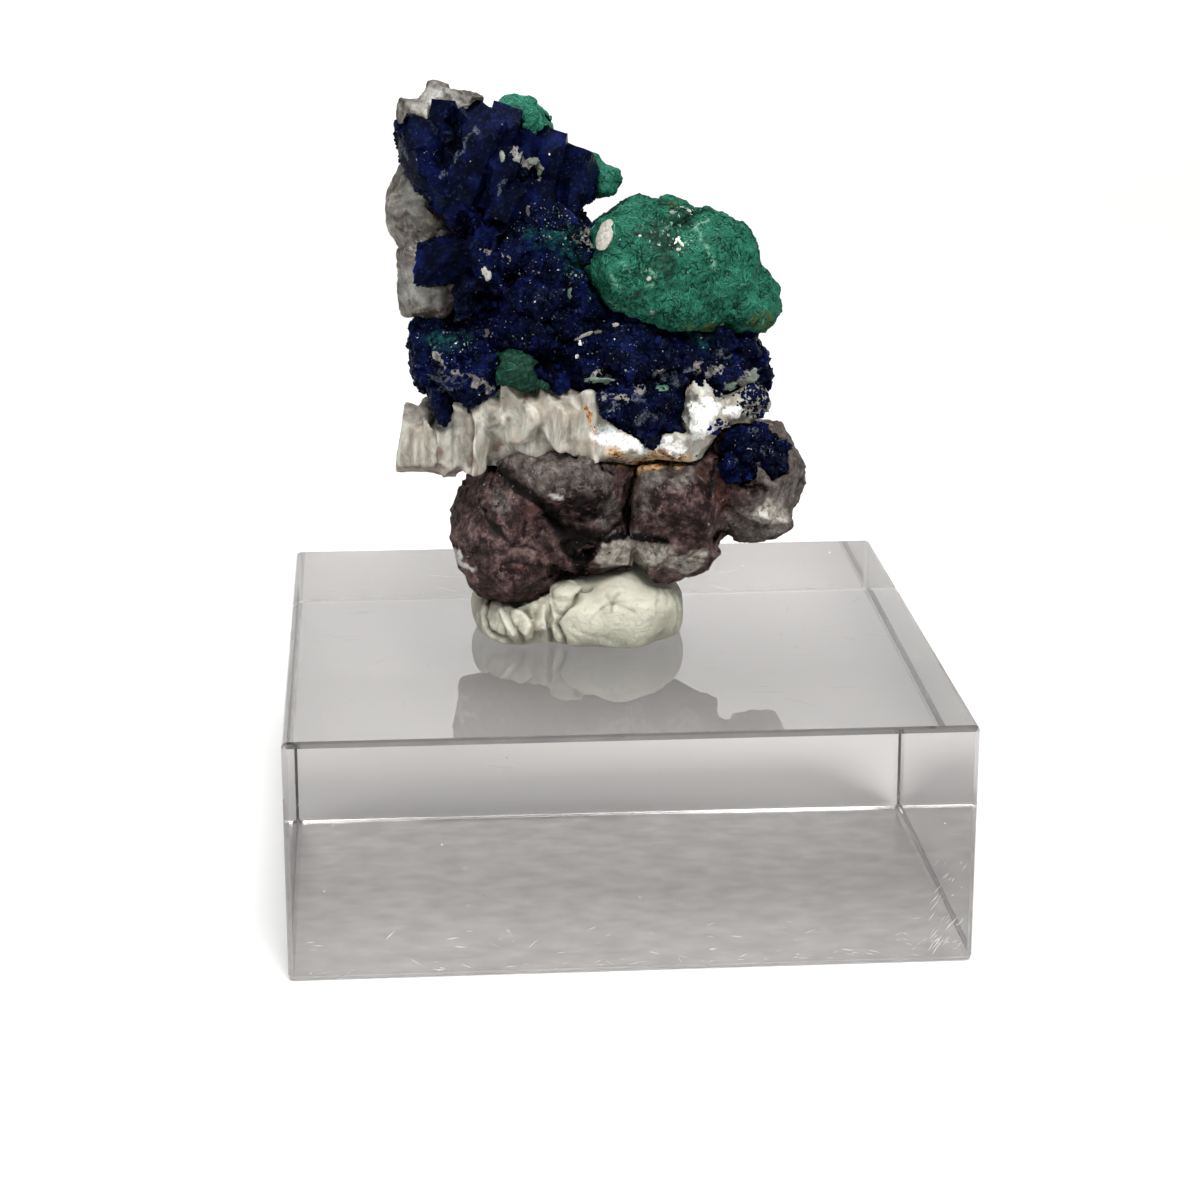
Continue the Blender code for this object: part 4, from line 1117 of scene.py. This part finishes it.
def make_rock():
    """Brown rock, carved along its cracks and hollows before its broken facets are added."""
    rng = np.random.default_rng(9)
    skin = Skin("matrix_rock", voxel=0.19)
    flat = skin.points * np.array((1.0, 1.0, 1.25))
    facets, edge = broken(flat, 2.6, 51)
    small, small_edge = broken(flat, 0.9, 52)
    clefts = (1 - smoothstep(0.0, 0.07, edge)) * smoothstep(-0.1, 0.4, noise(skin.points, 3.0, 55))
    chips = (1 - smoothstep(0.0, 0.1, small_edge)) * smoothstep(0.0, 0.5, noise(skin.points, 1.8, 56))
    skin.push(-0.9 * skin.spots(ROCK_NOTCH, 1.0, through=True))
    depth, lines = skin.trace(ROCK_LINES)
    hollow = skin.spots(ROCK_RECESSES, 4.0)
    rim = skin.spots(ROCK_RIM, 1.5)
    ragged = smoothstep(-0.5, 0.3, rough(skin.points, 0.8, 57, 3))
    skin.carve(np.minimum(depth + (0.4 + 0.4 * ragged) * hollow + 0.6 * rim, 1.1))
    skin.push(0.17 * facets + 0.07 * small + 0.2 * rough(skin.points, 3.2, 53, 3)
              - 0.1 * clefts - 0.05 * chips)
    skin.push(0.05 * rough(skin.points, 0.6, 54, 2))
    # Painted shade: dark along the cracks and lines, in the hollows, clefts and chips.
    crack_shade = smoothstep(0.15, 0.45, lines + 0.2 * rough(skin.points, 0.5, 58, 3))
    skin.paint("dark", crack_shade + ragged * hollow + 0.5 * clefts + 0.4 * chips)
    skin.paint_zones((
        ("grey", 0.9, 7.0, GREY_ZONES), ("slab", 0.85, 7.0, SLAB_ZONES), ("mottle_and_shade", 1.0, 8.0, MOTTLE_AND_SHADE_ZONES),
        ("pink", 0.4, 8.0, PINK_ZONES), ("wine", 0.9, 5.0, WINE_ZONES), ("rust", 1.0, 5.0, ROCK_RUST_ZONES),
        ("pale", 1.0, 2.5, ROCK_PALE_ZONES),
    ))
    skin.finish("rock_body", "rock", crease=42)
    grains_on("rock_grains", skin, 900, (0.04, 0.16), rng, "rock_grain")


def make_grey():
    """The grey crystals behind the azurite, at its side and its top."""
    for side in ("side", "top"):
        skin = Skin("grey_crystals_" + side, voxel=0.16)
        facets, _ = broken(skin.points, 2.2, 61)
        small, _ = broken(skin.points, 0.8, 63)
        skin.push(0.16 * facets + 0.05 * small + 0.2 * rough(skin.points, 1.9, 62, 3))
        # Pale and white: partly the crystals' own patches, partly painted light on their upper left.
        skin.paint_zones((("pale", 0.9, 5.0, GREY_PALE_AND_LIT_ZONES), ("white", 0.9, 3.0, GREY_WHITE_AND_HIGHLIGHT_ZONES)))
        skin.finish(f"grey_{side}_crystals", "grey", crease=38)


def make_tack():
    """Putty with pressed folds, smoothed first and let down onto the block's top."""
    skin = Skin("mineral_tack", voxel=0.18)
    for _ in range(TACK_SMOOTHING):
        skin.relax()
    depth, mark = skin.trace(TACK_CREASES, 1.2, 0.12, ink=2.4)
    height, rim = skin.trace(TACK_RIDGES, 1.2)
    above = smoothstep(0.3, 1.0, skin.points[:, 2])
    skin.push(0.5 * skin.spots(TACK_SWELL, 0.0, through=True) * above)
    folds = skin.spots(TACK_FOLDED, 2.0)
    flow = skin.points * np.array((1.0, 1.0, 0.6))
    skin.push(above * (0.1 * rough(flow, 1.0, 72, 4) * (0.22 + 1.3 * folds) - depth + height
                       + 0.09 * folds * rough(flow, 0.5, 76, 3) + 0.03 * rough(skin.points, 0.7, 74, 3)))
    skin.points[:, 2] -= TACK_DROP * (1 - smoothstep(TACK_DROP, 1.1, skin.points[:, 2]))
    skin.write()
    # Painted shade in the creases, darker for the deeper ones.
    skin.paint("crease", 0.9 * mark)
    # Painted highlight along the raised ridges.
    skin.paint("rim", 0.75 * rim)
    skin.paint("shadow", 0.8 * folds * smoothstep(0.3, -0.3, rough(flow, 1.0, 72, 4)))
    skin.finish("tack_blob", "tack")


def strip(middle, angle, length, width, start, end, bow=0.0):
    """Three pairs of points in a plane: a scratch whose ends are start and end of its width. It may bow."""
    along = np.array((math.cos(angle), math.sin(angle))) * length
    across = np.array((-along[1], along[0])) / np.linalg.norm(along)
    points = []
    for step, wide in ((-1, start), (0, 1), (1, end)):
        spot = middle + step * along + abs(step) * bow * across
        points += [spot - wide * width * across, spot + wide * width * across]
    return points


def make_marks():
    """Fine scratches and specks of dust on the block's top and front."""
    rng = np.random.default_rng(10)
    low, high = (np.array(corner) / MM for corner in solid_box)
    top = float(np.array(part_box("clear_block")[1])[2]) / MM
    points = []
    for _ in range(SCRATCHES):
        middle = np.array((rng.uniform(low[0] + 2, high[0] - 2), rng.uniform(low[1] + 2, high[1] - 2)))
        angle = rng.normal(0.4, 0.9)
        length = rng.uniform(0.2, 1.0) ** 2 * 1.9
        flat = strip(middle, angle, length, rng.uniform(0.008, 0.02), 0.2, 0.2, bow=0.06)
        points.extend((across, back, top + MARK_LIFT) for across, back in flat)
    for index in range(FRONT_MARKS):
        if index < CORNER_MARKS:
            middle = np.array((high[0] - rng.uniform(0.8, 3.2), rng.uniform(0.8, 8.0)))
            angle = rng.normal(0.95, 0.12)
        else:
            middle = np.array((rng.uniform(low[0] + 1, high[0] - 1), 0.6 + 3.0 * rng.random() ** 2))
            angle = rng.normal(0.0, 0.35)
        flat = strip(middle, angle, rng.uniform(0.08, 0.45), rng.uniform(0.015, 0.05), 0.3, 0.2)
        points.extend((across, low[1] - MARK_LIFT, rise) for across, rise in flat)
    faces = []
    for first in range(0, len(points), 6):
        faces.append((first, first + 2, first + 3, first + 1))
        faces.append((first + 2, first + 4, first + 5, first + 3))
    joined("block_scratches", from_block(np.array(points)), faces, "scratch")

    places = np.stack((rng.uniform(low[0] + 1, high[0] - 1, DUST), rng.uniform(low[1] + 1, high[1] - 1, DUST),
                       np.full(DUST, top)), axis=1)
    front = rng.random(DUST) < DUST_ON_FRONT
    places[front, 1] = low[1] - 0.01
    places[front, 2] = top * rng.uniform(0.03, 0.97, int(front.sum())) ** 1.6
    size = 0.02 + 0.06 * rng.random(DUST) ** 3
    stretch = np.stack((size, size * 0.6, size * 0.5), axis=1)
    outward = np.where(front[:, None], np.array((0.0, -1.0, 0.0)), np.array((0.0, 0.0, 1.0)))
    grains, copies = repeat(GRAIN_POINTS, GRAIN_FACES, places, frames(outward, rng), stretch)
    tone = np.repeat(rng.random(DUST), len(GRAIN_POINTS))
    joined("block_dust", from_block(grains), copies, "dust", (("tone", tone),))


# The studio

def make_plane(name, size, place, tilt, look, colour, roughness):
    """A large flat sheet around the specimen, which isn't part of it."""
    bpy.ops.mesh.primitive_plane_add(size=size, location=place, rotation=(math.radians(tilt), 0.0, 0.0))
    plane = bpy.context.object
    plane.name = name
    plane.data.materials.append(Look(look, Base_Color=colour, Roughness=roughness).material)


def make_lamp(name, kind, place, power):
    """A lamp that shines straight down until it is turned: the lamp and its light."""
    light = bpy.data.lights.new(name, kind)
    light.energy = power
    lamp = bpy.data.objects.new(name, light)
    scene.collection.objects.link(lamp)
    lamp.location = place
    return lamp, light


def make_studio():
    """A pale floor, a grey wall far behind, three soft lamps and a spot lamp for the wall and the floor."""
    make_plane("floor", 6.0, (0.0, 0.0, -0.00005), 0, "pale_floor", (0.86, 0.86, 0.85, 1.0), 0.7)
    make_plane("back_wall", 3.0, (0.0, 1.1, 1.45), 90, "grey_wall", (0.4, 0.395, 0.385, 1.0), 0.8)
    world = bpy.data.worlds.new("studio")
    scene.world = world
    world.use_nodes = True
    world.node_tree.nodes["Background"].inputs["Color"].default_value = (0.93, 0.97, 1.0, 1.0)
    world.node_tree.nodes["Background"].inputs["Strength"].default_value = 0.12
    for name, place, size, power, colour in SOFT_LAMPS:
        lamp, light = make_lamp(name, "AREA", place, power)
        light.shape = "DISK"
        light.size = size
        light.color = colour
        lamp.rotation_euler = (Vector(LAMP_AIM) - Vector(place)).to_track_quat("-Z", "Y").to_euler()
    lamp, light = make_lamp("backdrop", "SPOT", (0.0, 0.6, 0.8), 60.0)
    light.shadow_soft_size = 0.2
    light.spot_size = math.radians(110)
    light.spot_blend = 1.0
    lamp.rotation_euler = (math.radians(35), 0.0, 0.0)


def make_camera():
    """The camera at the photograph's viewpoint."""
    camera = bpy.data.objects.new("camera", bpy.data.cameras.new("camera"))
    scene.collection.objects.link(camera)
    camera.data.lens = LENS
    camera.data.sensor_width = SENSOR
    camera.data.clip_start = 0.01
    camera.data.clip_end = 20.0
    camera.matrix_world = Matrix((
        (RIGHT[0], UP[0], BACK[0], EYE[0] * MM),
        (RIGHT[1], UP[1], BACK[1], EYE[1] * MM),
        (RIGHT[2], UP[2], BACK[2], EYE[2] * MM),
        (0, 0, 0, 1),
    ))
    scene.camera = camera


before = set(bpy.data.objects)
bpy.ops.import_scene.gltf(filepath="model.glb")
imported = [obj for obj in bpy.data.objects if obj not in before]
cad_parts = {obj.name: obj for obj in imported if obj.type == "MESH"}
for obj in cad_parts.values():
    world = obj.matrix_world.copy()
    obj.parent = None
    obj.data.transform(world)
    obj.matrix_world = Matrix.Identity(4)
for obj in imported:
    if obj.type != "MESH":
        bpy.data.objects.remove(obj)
scene = bpy.context.scene
solid_box = [list(corner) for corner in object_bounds()]
scene.view_settings.view_transform = "Standard"
make_camera()
make_studio()

looks = {
    "azurite": (azurite_look(), "azurite"),
    "malachite": (malachite_look(), "malachite"),
    "fibre": (fibre_look(), "malachite"),
    "glint": (glint_look(), "malachite"),
    "white": (white_look(), "white_mineral"),
    "chalk": (chalk_look(), "white_mineral"),
    "grain": (grain_look(), "white_mineral"),
    "bit": (bit_look(), "white_mineral"),
    "rock": (rock_look(), "brown_rock"),
    "rock_grain": (rock_grain_look(), "brown_rock"),
    "grey": (grey_look(), "grey_crystal"),
    "tack": (tack_look(), "tack"),
    "scratch": (scratch_look(), "acrylic"),
    "dust": (dust_look(), "acrylic"),
}
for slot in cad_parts["clear_block"].material_slots:
    slot.material = block_look()
make_azurite()
make_patch()
make_malachite()
make_white()
make_rock()
make_grey()
make_tack()
make_marks()
